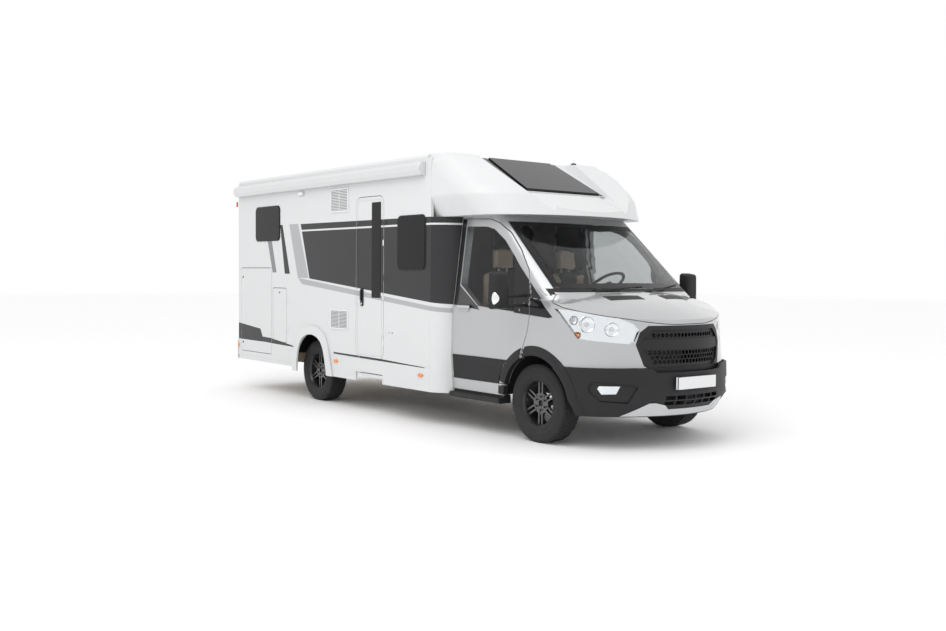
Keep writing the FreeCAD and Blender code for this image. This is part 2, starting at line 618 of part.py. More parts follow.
def makeStep():
    """A tread on two round runners that slide in a guide plate under the floor."""
    tread = block("stepTread", "stepBack", "-halfWidth + 12", "stepLevel", "stepFront - stepBack", "stepDeep", "stepThick")
    inner = "-halfWidth + 12 + stepDeep"
    places = ("stepBack + 60", "stepFront - 60")

    def runners(name, radius, start):
        return [rod("%s%d" % (name, i), x, start, "stepLevel + stepThick / 2", radius,
                    "-runnerEnd - (%s)" % start, (0, 1, 0)) for i, x in enumerate(places)]
    keep("entry_step", joined("entry_step", [tread] + runners("runner", "runnerRadius", inner)))
    under = "floorTop - floorThick"
    ends = [block("stepSide%d" % i, x, "-halfWidth + 60", "stepLevel + 4", "4", "stepDeep - 22", "%s - stepLevel - 4" % under)
            for i, x in enumerate(("stepBack - 10", "stepFront + 6"))]
    guide = block("stepGuide", "stepBack - 10", "%s + shutGap" % inner, "stepLevel", "stepFront - stepBack + 20",
                  "guideThick", "%s - stepLevel" % under)
    housing = joined("stepFrame", ends + [guide])
    bores = joined("stepBores", runners("runnerBore", "runnerRadius + pinClear", inner))
    keep("step_housing", without("step_housing", housing, bores))


# Cab skin

def planWire(level, back, start, tip, half, radius):
    """A closed outline seen from above: straight sides, round corners and one wide arc in front."""
    reach = tip - start
    wide = (reach ** 2 + (half - radius) ** 2 - radius ** 2) / (2 * (reach - radius))
    centre = Vector(tip - wide, 0, level)
    corner = Vector(start, half - radius, level)
    out = (corner - centre).normalize()
    join = centre + out * wide
    turn = corner + (out + Vector(0, 1, 0)).normalize() * radius

    def flip(point):
        return Vector(point.x, -point.y, point.z)
    side, back_ = Vector(start, half, level), Vector(back, half, level)
    return Part.Wire([
        Part.makeLine(flip(back_), flip(side)), Part.Arc(flip(side), flip(turn), flip(join)).toShape(),
        Part.Arc(flip(join), Vector(tip, 0, level), join).toShape(), Part.Arc(join, turn, side).toShape(),
        Part.makeLine(side, back_), Part.makeLine(back_, flip(back_))])


def lowerBody(inset, back):
    """The cab below the belt, from levels narrower at the foot, before the bonnet is cut."""
    belt = s.beltLevel + s.beltRise
    levels = [(s.cabFoot, s.cabFootHalf, s.noseTip - 20), (s.skirtLine, s.cabHalf, s.noseTip),
              (belt, s.cabHalf - s.beltDraw, s.noseTip - 45),
              (belt + s.shoulderRise, s.cabHalf - s.shoulderDraw, s.noseTip - 150)]
    wires = []
    for i, (level, half, tip) in enumerate(levels):
        if i == 0:
            level -= inset * 2
        wires.append(planWire(level, back, s.noseStart - s.noseTip + tip, tip - inset, half - inset,
                              s.noseRadius - inset))
    return Part.makeLoft(wires, True, True)


def bonnetCrown(x, centre, drop):
    """An arc across the vehicle, highest in the middle."""
    half = s.cabHalf + 100
    ends = [Vector(x, y, centre - drop * half * half / 1e6 * 1000) for y in (-half, half)]
    arc = Part.Arc(ends[0], Vector(x, 0, centre), ends[1]).toShape()
    top = [Vector(x, y, 2400) for y in (half, -half)]
    return Part.Wire([arc, Part.makeLine(ends[1], top[0]), Part.makeLine(top[0], top[1]),
                      Part.makeLine(top[1], ends[0])])


def aboveBonnet(inset):
    """The space over the bonnet and, behind it, over the belt line."""
    stations = [(s.pillarBase - 40, 1500, 0.13), (s.screenFootX, 1408, 0.11), (3120, 1318, 0.17),
                (3310, 1232, 0.22), (s.noseTip + 60, s.noseTop - 40, 0.22)]
    wires = [bonnetCrown(x, level - inset, drop) for x, level, drop in stations]
    over = Part.makeLoft(wires, True, True)
    half = s.cabHalf + 100
    belt = prism([(s.cabBack - 400, s.beltLevel - inset), (s.pillarBase - 230, s.beltLevel - inset),
                  (s.pillarBase - 35, 1300 - inset), (s.pillarBase - 35, 2400), (s.cabBack - 400, 2400)],
                 "XZ", -half, half)
    return over.fuse(belt)


def glassHouse(inset, back):
    """The cab above the belt: sides leaning in, with the curved screen in front."""
    def at(level):
        share = (level - s.screenFootZ) / (s.screenHeadZ - s.screenFootZ)
        tip = blend(s.screenFootX, s.screenHeadX, share)
        half = blend(s.screenFootHalf, s.screenHeadHalf, share)
        turn = blend(s.screenFootTurn, s.screenHeadTurn, share)
        radius = blend(s.screenFootRadius, s.screenHeadRadius, share)
        return planWire(level, back, tip - turn, tip - inset * 1.5, half - inset, radius - inset * 0.5)
    foot = s.beltLevel - 60 - inset
    return Part.makeLoft([at(foot), at(s.headerLevel + inset * 2)], True, True)


cabForms = {}


def cabSolid(inset):
    """The cab's whole form, drawn in by an inset."""
    if inset not in cabForms:
        back = s.cabBack - inset * 3
        lower = lowerBody(inset, back).cut(aboveBonnet(inset))
        cabForms[inset] = lower.fuse(glassHouse(inset, back))
    return cabForms[inset].copy()


def archRound(radius, low, high):
    return Part.makeCylinder(radius, high - low, Vector(s.frontAxle, low, s.axleLevel), Vector(0, 1, 0))


def doorOutline(margin):
    """The cab door from the side; its edges lie a margin inside the shut line."""
    m = margin
    return [(s.cabBack + m, s.cabDoorFoot + m), (s.frontAxle - 150, s.cabDoorFoot + m),
            (2230 - m, 700), (2290 - m, 880), (2352 - m, 1041), (2380 - m, 1201), (2378 - m, s.beltLevel + 40),
            (2325 - m, 1500), (2285 - m, 1610 - m), (2130 - m, 1800 - m), (1950 - m, 1975 - m),
            (1790 - m, 2070 - m), (1640, 2115 - m), (s.cabBack + m, 2130 - m)]


def doorWindow(margin):
    """The window in the cab door, its lower edge stepping up to the mirror's corner."""
    m = margin
    return [(1275 + m, 1463 + m), (1590, 1252 + m), (1700, 1243 + m), (s.mirrorX - 60 - m, 1210 + m),
            (s.mirrorX - 75 - m, 1400), (s.mirrorX - 95 - m, 1610), (2080 - m, 1730 - m), (1900 - m, 1900 - m),
            (1720 - m, 2010 - m), (1600, 2040 - m), (1275 + m, 2050 - m)]


def bonnetRegion(margin):
    """All that opens with the bonnet, as a block: over the lamps' tops and ahead of the screen."""
    m = margin
    side = prism([(s.bonnetRear + m, 1330 + m), (2800, s.lampTopBack + m), (3250, 1178 + m), (3400, s.lampTopFront + m),
                  (s.noseTip + 200, s.lampTopFront + m), (s.noseTip + 200, 1900), (s.bonnetRear + m, 1900)],
                 "XZ", -s.cabHalf - 100, s.cabHalf + 100)
    plan = planWire(900, 1000, s.bonnetRear - 200, s.screenFootX - 2 + m, 990, 280)
    return side.cut(Part.Face(plan).extrude(Vector(0, 0, 1500)))


def screenRegion(margin):
    """The windscreen's outline, seen from the front and pushed through the screen."""
    m = margin
    corners = [(-s.screenSide - 22 + m, s.screenSill + m), (s.screenSide + 22 - m, s.screenSill + m),
               (s.screenSide - 26 - m, s.screenTop - m), (-s.screenSide + 26 + m, s.screenTop - m)]
    return prism(corners, "YZ", s.screenHeadX - 300, s.screenFootX + 60)


def pushedIn(side, x, y, corners):
    """A block with an outline that faces out of the nose's corner, pushed in square to it."""
    middle = Vector(x, side * y, 0)
    across = Vector(math.sqrt(0.5), -side * math.sqrt(0.5), 0)
    inward = Vector(-math.sqrt(0.5), -side * math.sqrt(0.5), 0)
    points = [middle + across * a + Vector(0, 0, b) - inward * 500 for a, b in corners]
    return Part.Face(Part.makePolygon(points + points[:1])).extrude(inward * 900)


def lampRegion(side, margin):
    """A headlamp's outline, wrapped round the corner of the nose."""
    m = margin
    corners = [(-470 + m, s.lampTopBack - 12 - m), (-330, 1250 - m), (80, 1195 - m), (235 - m, 1135 - m), (290 - m, 1075),
               (250 - m, 985 + m), (200 - m, 955 + m), (-160, s.lampFoot + m), (-260 + m, s.lampFoot + 15 + m)]
    return pushedIn(side, 3120, 760, corners)


def podRegion(side):
    """The sunk field round a fog lamp."""
    return pushedIn(side, s.podX, s.podY, [(-177, 590), (-129, 628), (211, 600), (262, 575), (172, 432), (-74, 449), (-177, 530)])


def fogRegion(side, margin):
    m = margin
    return pushedIn(side, s.podX, s.podY, [(-98 + m, 560), (-84 + m, 585 - m), (100 - m, 585 - m), (66 - m, 518 + m), (-62 + m, 513 + m)])


def grilleRegion(margin):
    m = margin
    low, high, half = s.grilleFoot + m, s.grilleTop - m, s.grilleHalf - m
    corners = [(-half + 150, low), (half - 150, low), (half - 60, low + 60), (half, 950), (half - 40, high - 60), (half - 120, high),
               (-half + 120, high), (-half + 40, high - 60), (-half, 950), (-half + 60, low + 60)]
    return prism(corners, "YZ", s.noseTip - 500, s.noseTip + 200)


def cabHollow():
    """The space inside posts and sills, down the whole cab."""
    depth = s.cabDoorThick + s.postDeep
    levels = (s.cabFoot - 50, s.skirtLine, s.beltLevel, s.headerLevel + 50)
    rightSide = [(sideHalf(level) - depth, level) for level in levels]
    outline = rightSide + [(-half, level) for half, level in reversed(rightSide)]
    return prism(outline, "YZ", s.cabBack - 10, s.noseTip)


def makeCab():
    wide = s.cabHalf + 50
    ahead = Part.makeBox(3000, 2 * wide, 3000, Vector(s.cabBack, -wide, 0))
    outer, inner = cabSolid(0).common(ahead), cabSolid(s.sheetThick)
    deeper = cabSolid(s.cabDoorThick)
    g = s.shutGap / 2
    arch = archRound(s.cabArch, -wide, wide)
    archInside = archRound(s.cabArch + 20, -s.cabHalf + 60, s.cabHalf - 60)
    shell = outer.cut(inner)
    doorHole = prism(doorOutline(-g), "XZ", -wide, wide)
    screenHole = screenRegion(0)
    lampHoles = [lampRegion(side, 0) for side in (right, left)]
    bumperLine = Part.makeBox(1500, 2 * wide, 1000, Vector(s.frontAxle + 200, -wide, s.bumperTop + s.seatGap - 1000))
    hollow = cabHollow()

    def thick(form, x, length, low, high):
        """A post, sill or header as deep as door and seal, along both sides."""
        return form.common(Part.makeBox(length, 2 * wide, high - low, Vector(x, -wide, low))).cut(hollow)
    sillTop, headerFoot = s.cabDoorFoot - g, s.headerLevel - 16
    linerReach, postFoot = s.linerRadius + s.linerThick, s.axleLevel + s.linerRadius + s.linerThick + 5
    sill = thick(outer, s.cabBack, s.frontAxle - linerReach - 5 - s.cabBack, s.cabFoot, sillTop)
    header = thick(outer, s.cabBack, s.postWide * 6, headerFoot, s.headerLevel)
    skin = shell
    for tool in [doorHole, bonnetRegion(-g), screenHole, arch, bumperLine, grilleRegion(-s.seatGap)] + lampHoles:
        skin = skin.cut(tool)
    hingePost = thick(outer, s.hingeX, s.pillarBase + s.postWide + 20 - s.hingeX, postFoot, s.beltLevel)
    body = skin.fuse([sill.cut(arch), header, hingePost])
    posts = []
    for x, low, high in ((s.cabBack, s.cabFoot + 40, s.headerLevel - 4), (s.pillarBase, postFoot, s.beltLevel)):
        both = thick(deeper, x, s.postWide, low, high)
        for side, low in ((right, -wide), (left, 0)):
            half = both.common(Part.makeBox(3000, wide, 3000, Vector(0, low, 0)))
            half.translate(Vector(0, -side * s.seatGap, 0))
            posts.append(half)
    keep("cab_body", shaped("cab_body", body.fuse(posts)))

    keep("bonnet", shaped("bonnet", outer.cut(cabSolid(s.bonnetThick)).common(bonnetRegion(g))))
    glass = outer.cut(cabSolid(s.glassThick)).common(screenRegion(s.seatGap))
    keep("windscreen", shaped("windscreen", glass))
    lampShell = outer.cut(cabSolid(s.cabDoorThick))
    lamps = [lampShell.common(lampRegion(side, s.seatGap)).cut(bonnetRegion(-g)).cut(grilleRegion(-2))
             for side in (right, left)]
    fogs = [bumperForm(6).cut(bumperForm(s.bumperThick)).common(fogRegion(side, s.seatGap)) for side in (right, left)]
    keep("headlamps", shaped("headlamps", Part.makeCompound(lamps + fogs)))

    doorShell = outer.cut(deeper)
    for side, name in ((right, "right"), (left, "left")):
        low, high = (-wide, 0) if side == right else (0, wide)
        leaf = doorShell.common(prism(doorOutline(g), "XZ", low, high)).cut(arch)
        window = prism(doorWindow(0), "XZ", low, high)
        keep("cab_door_" + name, shaped("cab_door_" + name, leaf.cut(window)))
        pane = outer.cut(cabSolid(s.glassThick)).common(prism(doorWindow(s.seatGap), "XZ", low, high))
        keep("door_glass_" + name, shaped("door_glass_" + name, pane))


def bumperForm(inset):
    """The front bumper's whole form, drawn in by an inset."""
    levels = [(s.bumperFoot - inset, s.cabFootHalf - 25, s.bumperTip - 90),
              (s.bumperFoot + 160, s.cabHalf + 4, s.bumperTip),
              (s.bumperTop + inset, s.cabHalf + 8, s.bumperTip - 15)]
    wires = [planWire(level, s.frontAxle + 150 - inset, s.noseStart - s.noseTip + tip, tip - inset,
                      half - inset, s.noseRadius - inset)
             for level, half, tip in levels]
    return Part.makeLoft(wires, True, True)


def intakeCells():
    """The lower air intake: rows of cells with bars left between them."""
    wide = 2 * s.intakeHalf / s.intakeColumns
    high = (s.intakeHead - s.intakeFoot) / s.intakeRows
    cells = []
    for i in range(int(s.intakeColumns)):
        for k in range(int(s.intakeRows)):
            cells.append(Part.makeBox(400, wide - s.intakeBar, high - s.intakeBar,
                                      Vector(s.noseTip - 250, -s.intakeHalf + wide * i + s.intakeBar / 2,
                                             s.intakeFoot + high * k + s.intakeBar / 2)))
    return Part.makeCompound(cells)


def skidPlate():
    """The silver plate under the bumper: a shallow lip with a horn at each end."""
    side = [(s.skidLip, 284), (408, 337), (s.skidHorn, s.skidHornHalf - 60), (s.skidHorn, s.skidHornHalf), (s.skidFoot, s.skidHalf)]
    corners = [(y, z) for z, y in side] + [(-y, z) for z, y in reversed(side)]
    return bumperForm(-s.skidProud).cut(bumperForm(-s.seatGap)).common(prism(corners, "YZ", s.noseTip - 500, s.noseTip + 200))


def makeBumper():
    wide = s.cabHalf + 50
    shell = bumperForm(0).cut(bumperForm(s.bumperThick)).cut(archRound(s.cabArch, -wide, wide)).cut(grilleRegion(-s.seatGap))
    back, gap = s.bumperTip - 8 - s.plateSink, s.seatGap
    seat = Part.makeBox(100, 2 * (s.plateHalf + gap), s.plateHigh + 2 * gap,
                        Vector(back - gap, -s.plateHalf - gap, s.plateLevel - s.plateHigh / 2 - gap))
    shell = shell.cut(seat).cut(intakeCells())
    sunk = bumperForm(-s.skidProud).cut(bumperForm(s.podDeep))
    for side in (right, left):
        shell = shell.cut(sunk.common(podRegion(side))).cut(fogRegion(side, 0))
    keep("front_bumper", shaped("front_bumper", Part.makeCompound([shell, skidPlate()])))
    plate = block("number_plate", "bumperTip - 8 - plateSink", "-plateHalf", "plateLevel - plateHigh / 2",
                  "rearBumperProud - rearFace - bumperTip + 8 + plateSink", "2 * plateHalf", "plateHigh")
    keep("number_plate", plate)


def meshCells(low, high):
    """Six-sided holes in staggered rows, between two levels, as far as the frame leaves room."""
    pitch, radius = s.meshPitch, (s.meshPitch - s.meshWeb) / math.sqrt(3)
    rise = pitch * math.sqrt(3) / 2
    rows = int((high - low - 2 * radius) / rise) + 1
    foot = (low + high - (rows - 1) * rise) / 2
    room = grilleRegion(s.grilleFrame + radius)
    cells = []
    for k in range(rows):
        level = foot + k * rise
        count = int(2 * s.grilleHalf / pitch)
        for i in range(count):
            y = (i - (count - 1) / 2 + (k % 2) / 2) * pitch
            if room.isInside(Vector(s.noseTip, y, level), 0.1, True):
                corners = [(y + radius * math.sin(math.radians(60 * n)), level + radius * math.cos(math.radians(60 * n)))
                           for n in range(6)]
                cells.append(prism(corners, "YZ", s.noseTip - 300, s.noseTip + 100))
    return cells


def makeGrille():
    """A frame that follows the nose, a broad bar with slots over and under it, and six-sided mesh behind."""
    skin, back = cabSolid(0), cabSolid(s.cabDoorThick)
    frame = skin.cut(back).common(grilleRegion(0)).cut(grilleRegion(s.grilleFrame))
    sunk = cabSolid(s.grilleDeep)
    field = sunk.cut(cabSolid(s.sheetThick)).common(grilleRegion(s.grilleFrame))
    low, high = s.grilleFoot + s.grilleFrame + 22, s.grilleTop - s.grilleFrame - 16
    cells = meshCells(low, s.barFoot) + meshCells(s.barHead, high)
    field = field.cut(Part.makeCompound(cells))
    half = s.grilleHalf + 50
    bar = cabSolid(6).cut(cabSolid(s.sheetThick)).common(grilleRegion(s.grilleFrame))
    bar = bar.common(Part.makeBox(1000, 2 * half, s.barHead - s.barFoot, Vector(s.noseTip - 500, -half, s.barFoot)))
    whole = frame.fuse([field, bar])
    keep("grille", shaped("grille", whole))


def lowerHalf(level):
    """How far out the lower cab stands from the skirt line up, also where it reaches over the belt."""
    if level < s.beltLevel + s.beltRise:
        return blend(s.cabHalf, s.cabHalf - s.beltDraw, (level - s.skirtLine) / (s.beltLevel + s.beltRise - s.skirtLine))
    return blend(s.cabHalf - s.beltDraw, s.cabHalf - s.shoulderDraw, (level - s.beltLevel - s.beltRise) / s.shoulderRise)


def sideHalf(level):
    """How far out the cab's side stands at a level."""
    if level < s.skirtLine:
        return blend(s.cabFootHalf, s.cabHalf, (level - s.cabFoot) / (s.skirtLine - s.cabFoot))
    if level < s.beltLevel:
        return lowerHalf(level)
    share = (level - s.screenFootZ) / (s.screenHeadZ - s.screenFootZ)
    return blend(s.screenFootHalf, s.screenHeadHalf, share)


def makeFairings():
    """Curved corners that carry the coach's wide wall in to the cab door."""
    levels = (s.skirtFoot, s.skirtLine, s.beltLevel, s.capFoot - s.seatGap)
    end = s.cabBack - s.shutGap / 2

    def section(level, side):
        outer, inner = s.halfWidth, s.halfWidth - s.wallThick
        tip = sideHalf(max(level, s.cabFoot))
        reach = end - s.wallFront
        a, b = Vector(s.wallFront + s.seatGap, side * outer, level), Vector(end, side * tip, level)
        middle = Vector(s.wallFront + reach * 0.62, side * blend(outer, tip, 0.36), level)
        c, d = Vector(end, side * (tip - s.wallThick), level), Vector(s.wallFront + s.seatGap, side * inner, level)
        back = Vector(s.wallFront + reach * 0.58, side * (blend(outer, tip, 0.36) - s.wallThick), level)
        return Part.Wire([Part.Arc(a, middle, b).toShape(), Part.makeLine(b, c),
                          Part.Arc(c, back, d).toShape(), Part.makeLine(d, a)])
    pieces = [Part.makeLoft([section(level, side) for level in levels], True, True) for side in (right, left)]
    keep("fairings", shaped("fairings", Part.makeCompound(pieces)))


def capForm(inset, back):
    """The hood over the cab: undercut at its foot, wide as the coach, and rounded up into the roof."""
    wide = s.halfWidth - s.capTuck
    levels = [(s.capFoot, wide - s.capUnderCut, 0), (s.capFoot + s.capRecess, wide, 62), (s.capFoot + 290, wide, 105),
              (s.capFoot + 440, wide, 240), (s.capFoot + 555, wide - 6, 500), (s.roofLevel, wide - s.cornerSize, 1000)]
    wires = []
    for i, (level, half, setBack) in enumerate(levels):
        tip = s.capTip - setBack - inset
        turn = min(s.capTurn + s.capSpread * (level - s.capFoot), tip - s.roofFront - 90) - inset
        if inset and i == 0:
            level += s.capSoffit
        if i == len(levels) - 1:
            level -= inset
        wires.append(planWire(level, back, tip - turn, tip, half - inset, turn * s.capRound))
    return Part.makeLoft(wires, True, True)


def windowSlope(x, above):
    """The level of the roof window's plane at a place along X, and above it square to the slope."""
    slope = (s.roofWindowTop - s.roofWindowFoot) / (s.roofWindowFront - s.roofWindowBack)
    return s.roofWindowTop - slope * (x - s.roofWindowBack) + above * math.hypot(1, slope)


def scoopRegion(depth):
    """The sunk field round the roof window: a floor down to the lip, between two leaning sides."""
    back, front, end = s.roofWindowBack - 60, s.roofWindowFront, s.capTip + 100
    drop = windowSlope(front, 0) - windowSlope(front, -depth)
    lip = blend(s.roofWindowFoot, s.scoopLip, (end - front) / (s.capTip - front))
    floor = prism([(back, windowSlope(back, -depth)), (front, windowSlope(front, -depth)), (end, lip - drop),
                   (end, s.roofLevel + 200), (back, s.roofLevel + 200)], "XZ", -s.halfWidth, s.halfWidth)
    low, high = s.scoopLowHalf + depth, s.scoopHighHalf + depth
    sides = prism([(-low, s.capFoot), (low, s.capFoot), (high, s.roofLevel), (high, s.roofLevel + 200),
                   (-high, s.roofLevel + 200), (-high, s.roofLevel)], "YZ", s.roofFront, end)
    return floor.common(sides)


def roofWindowPlan(margin):
    """The roof window's outline from above, wider in front."""
    back, front = s.roofWindowBack + margin, s.roofWindowFront - margin
    rear, fore = s.roofWindowBackHalf - margin, s.roofWindowFrontHalf - margin
    return prism([(back, -rear), (front, -fore), (front, fore), (back, rear)], "XY", s.capFoot + 100, s.roofLevel + 100)


def makeCap():
    """The moulded hood over the cab, hollow and open to the coach behind, with its roof window."""
    back = s.roofFront + s.seatGap
    outer = capForm(0, back).cut(scoopRegion(0))
    inner = capForm(s.capThick, back - 50).cut(scoopRegion(s.capThick))
    shell = outer.cut(inner)
    mouth = planWire(s.capFoot - 50, back - 50, s.capMouthFront - 300, s.capMouthFront, s.capMouthHalf, 200)
    shell = shell.cut(Part.Face(mouth).extrude(Vector(0, 0, 50 + 2 * s.capSoffit)))
    inside, gap = s.halfWidth - s.wallThick - s.seatGap, s.seatGap
    for low in (-s.halfWidth - 50, inside):
        shell = shell.cut(Part.makeBox(s.wallFront + gap - back + 50, s.halfWidth + 50 - inside,
                                       s.roofLevel - s.cornerSize + gap - s.capFoot + 50,
                                       Vector(back - 50, low, s.capFoot - 50)))
    keep("overcab_cap", shaped("overcab_cap", shell.cut(roofWindowPlan(0))))
    back, front = s.roofWindowBack - 20, s.roofWindowFront + 20
    low, high = s.roofWindowProud - s.roofWindowThick, s.roofWindowProud
    slab = prism([(back, windowSlope(back, low)), (front, windowSlope(front, low)), (front, windowSlope(front, high)),
                  (back, windowSlope(back, high))], "XZ", -s.halfWidth, s.halfWidth)
    keep("roof_window", shaped("roof_window", slab.common(roofWindowPlan(s.seatGap))))


def makeSideSteps():
    """Moulded steps hung under the sills below the cab doors."""
    top = s.cabFoot - s.seatGap
    steps = []
    for side in (right, left):
        corners = [(s.sideStepInner, top), (s.sideStepInner, s.sideStepFoot), (s.sideStepOuter - 24, s.sideStepFoot),
                   (s.sideStepOuter, s.sideStepFoot + 22), (s.sideStepOuter, s.sideStepTop - 10),
                   (s.sideStepOuter - 12, s.sideStepTop), (s.sideStepFlange, s.sideStepTop), (s.sideStepFlange, top)]
        steps.append(prism([(side * y, z) for y, z in corners], "YZ", s.sideStepBack, s.sideStepFront))
    keep("cab_steps", shaped("cab_steps", Part.makeCompound(steps)))


# Chassis, wheels and cab fittings

def makeChassis():
    rails, drops, struts = [], [], []
    for side in (right, left):
        low = "railInner" if side == left else "-railInner - railWide"
        rails.append(block("rail%d" % side, "garageStep - 8", low, "floorTop - floorThick - railHigh",
                           "railFront - garageStep + 8", "railWide", "railHigh"))
        drops.append(block("dropRail%d" % side, "railBack", low, "garageFloor - floorThick - dropRailHigh",
                           "garageStep + 120 - railBack", "railWide", "dropRailHigh"))
    foot = "floorTop - floorThick - railHigh + 20"
    for i, x in enumerate(("railFront - crossWide", "1150", "250", "-700", "garageStep + 60")):
        struts.append(block("cross%d" % i, x, "-railInner - 5", foot, "crossWide", "2 * railInner + 10", "crossHigh"))
    struts.append(block("crossBack", "railBack", "-railInner - 5", "garageFloor - floorThick - dropRailHigh",
                        "crossWide", "2 * railInner + 10", "dropRailHigh"))
    struts.append(block("bumperBeam", "railFront", "-600", foot, "crossWide", "1200", "crossHigh"))
    middle = "garageFloor - floorThick - dropRailHigh / 2"
    holes = [rod("towBolt%d%d" % (i, k), "railBack - 5", "%d * towBoltY" % i, "%s + %d * towBoltZ" % (middle, k),
                 "towBoltRadius", "crossWide + 10", (1, 0, 0)) for i in (-1, 1) for k in (-1, 1)]
    keep("chassis_frame", without("chassis_frame", joined("frameBars", rails + drops + struts), joined("towBolts", holes)))


def makeRearAxle():
    axle = "frontAxle - wheelBase"
    beam = rod("axleBeam", axle, "-rearTrack + 60", "tyreRadius", "axleRadius", "2 * (rearTrack - 60)", (0, 1, 0))
    spindle = rod("axleSpindle", axle, "-rearTrack - spindleEnd", "tyreRadius", "spindleRadius",
                  "2 * (rearTrack + spindleEnd)", (0, 1, 0))
    seats = [block("springSeat%d" % side, "%s - 45" % axle, "%s * springHalf - springWide / 2" % side,
                   "tyreRadius - 20", "90", "springWide", "axleRadius + 22") for side in (right, left)]
    keep("rear_axle", joined("rear_axle", [beam, spindle] + seats))
    springs = []
    for side in (right, left):
        low = "%s * springHalf - springWide / 2" % side
        foot = "tyreRadius + axleRadius + 2 + seatGap"
        leaf = block("leaf%d" % side, "%s - springReach" % axle, low, foot, "2 * springReach", "springWide", "14")
        second = block("leafShort%d" % side, "%s - springReach * 0.6" % axle, low, "%s + 14" % foot,
                       "springReach * 1.2", "springWide", "springHigh - 14")
        hangers = [block("hanger%d%d" % (side, i), x, low, "%s + 14" % foot, "50", "springWide",
                         "floorTop - floorThick - seatGap - (%s) - 14" % foot)
                   for i, x in enumerate(("%s - springReach + 60" % axle, "%s + springReach - 60" % axle))]
        springs.append(joined("spring%d" % side, [leaf, second] + hangers))
    keep("rear_springs", gathered("rear_springs", springs))


def makeFrontSubframe():
    parts = [block("subCross", "frontAxle - 160", "-railInner - railWide", "armLevel", "220",
                   "2 * (railInner + railWide)", "70")]
    for side in (right, left):
        inner = "railInner + 5" if side == left else "-railInner - railWide + 5"
        parts.append(block("subLeg%d" % side, "frontAxle - 150", inner, "armLevel + 60", "120", "railWide - 10",
                           "floorTop - floorThick - railHigh - armLevel - 60 - seatGap"))
        arm = block("arm%d" % side, "frontAxle - 55", "railInner" if side == left else "-kingpin - 35",
                    "armLevel", "110", "kingpin + 35 - railInner", "armThick")
        parts.append(arm)
    tools = [rod("armBore%d" % side, "frontAxle", "%s * kingpin" % side, "armLevel - 5", "pinRadius + pinClear",
                 "armThick + 10") for side in (right, left)]
    subframe = without("subframe", joined("subframeBars", parts), joined("armBores", tools))
    towers = [subframe]
    for side in (right, left):
        inner = "railInner + 5" if side == left else "-railInner - railWide + 5"
        post = block("towerPost%d" % side, "frontAxle - 60", inner, "floorTop - floorThick + seatGap", "120",
                     "railWide - 10", "strutTop + 10 - floorTop + floorThick")
        plate = block("towerPlate%d" % side, "frontAxle - 60", inner if side == left else "-kingpin - 60",
                      "strutTop - towerThick", "120", "kingpin + 60 - railInner - 5", "towerThick")
        bore = rod("towerBore%d" % side, "frontAxle", "%s * kingpin" % side, "strutTop - towerThick - 5",
                   "strutRadius + pinClear", "towerThick + 10")
        towers.append(without("tower%d" % side, joined("towerBars%d" % side, [post, plate]), bore))
    keep("front_subframe", gathered("front_subframe", towers))


def makeKnuckles():
    """Upright, strut and spindle in one: it turns about the strut's own axis."""
    for side, label in ((right, "knuckle_right"), (left, "knuckle_left")):
        upright = rod("upright%d" % side, "frontAxle", "%s * kingpin" % side, "armLevel + armThick + 5",
                      "strutRadius + 7", "tyreRadius + 90 - armLevel - armThick - 5")
        pin = rod("kingpin%d" % side, "frontAxle", "%s * kingpin" % side, "armLevel", "pinRadius", "150")
        strut = rod("strut%d" % side, "frontAxle", "%s * kingpin" % side, "tyreRadius", "strutRadius",
                    "strutTop - tyreRadius")
        start = "kingpin" if side == left else "-frontTrack - spindleEnd"
        spindle = rod("spindle%d" % side, "frontAxle", start, "tyreRadius", "spindleRadius",
                      "frontTrack + spindleEnd - kingpin", (0, 1, 0))
        keep(label, joined(label, [upright, pin, strut, spindle]))


wheelPlaces = (("front_right", "frontAxle", right, "frontTrack"), ("front_left", "frontAxle", left, "frontTrack"),
               ("rear_right", "frontAxle - wheelBase", right, "rearTrack"),
               ("rear_left", "frontAxle - wheelBase", left, "rearTrack"))


def tyreShape():
    """A tyre about the Y axis through the origin, lofted round its profile from rings with few sides."""
    half, radius = s.tyreWidth / 2, s.tyreRadius
    middle = blend(s.beadRadius, radius, 0.55)
    profile = [(s.rimHalf - 14, s.rimLip + s.tyreGap), (half - 4, middle), (s.treadHalf + 14, radius - 16),
               (s.treadHalf, radius)]
    profile += [(-y, reach) for y, reach in reversed(profile)]
    rings = []
    for y, reach in profile:
        corners = [Vector(0, y, reach)]
        for i in range(int(s.tyreSides)):
            corners.append(FreeCAD.Rotation(Vector(0, 1, 0), 360 / s.tyreSides * (i + 1)).multVec(corners[0]))
        corners[-1] = corners[0]
        rings.append(Part.makePolygon(corners))
    return Part.makeLoft(rings, True, True, True)


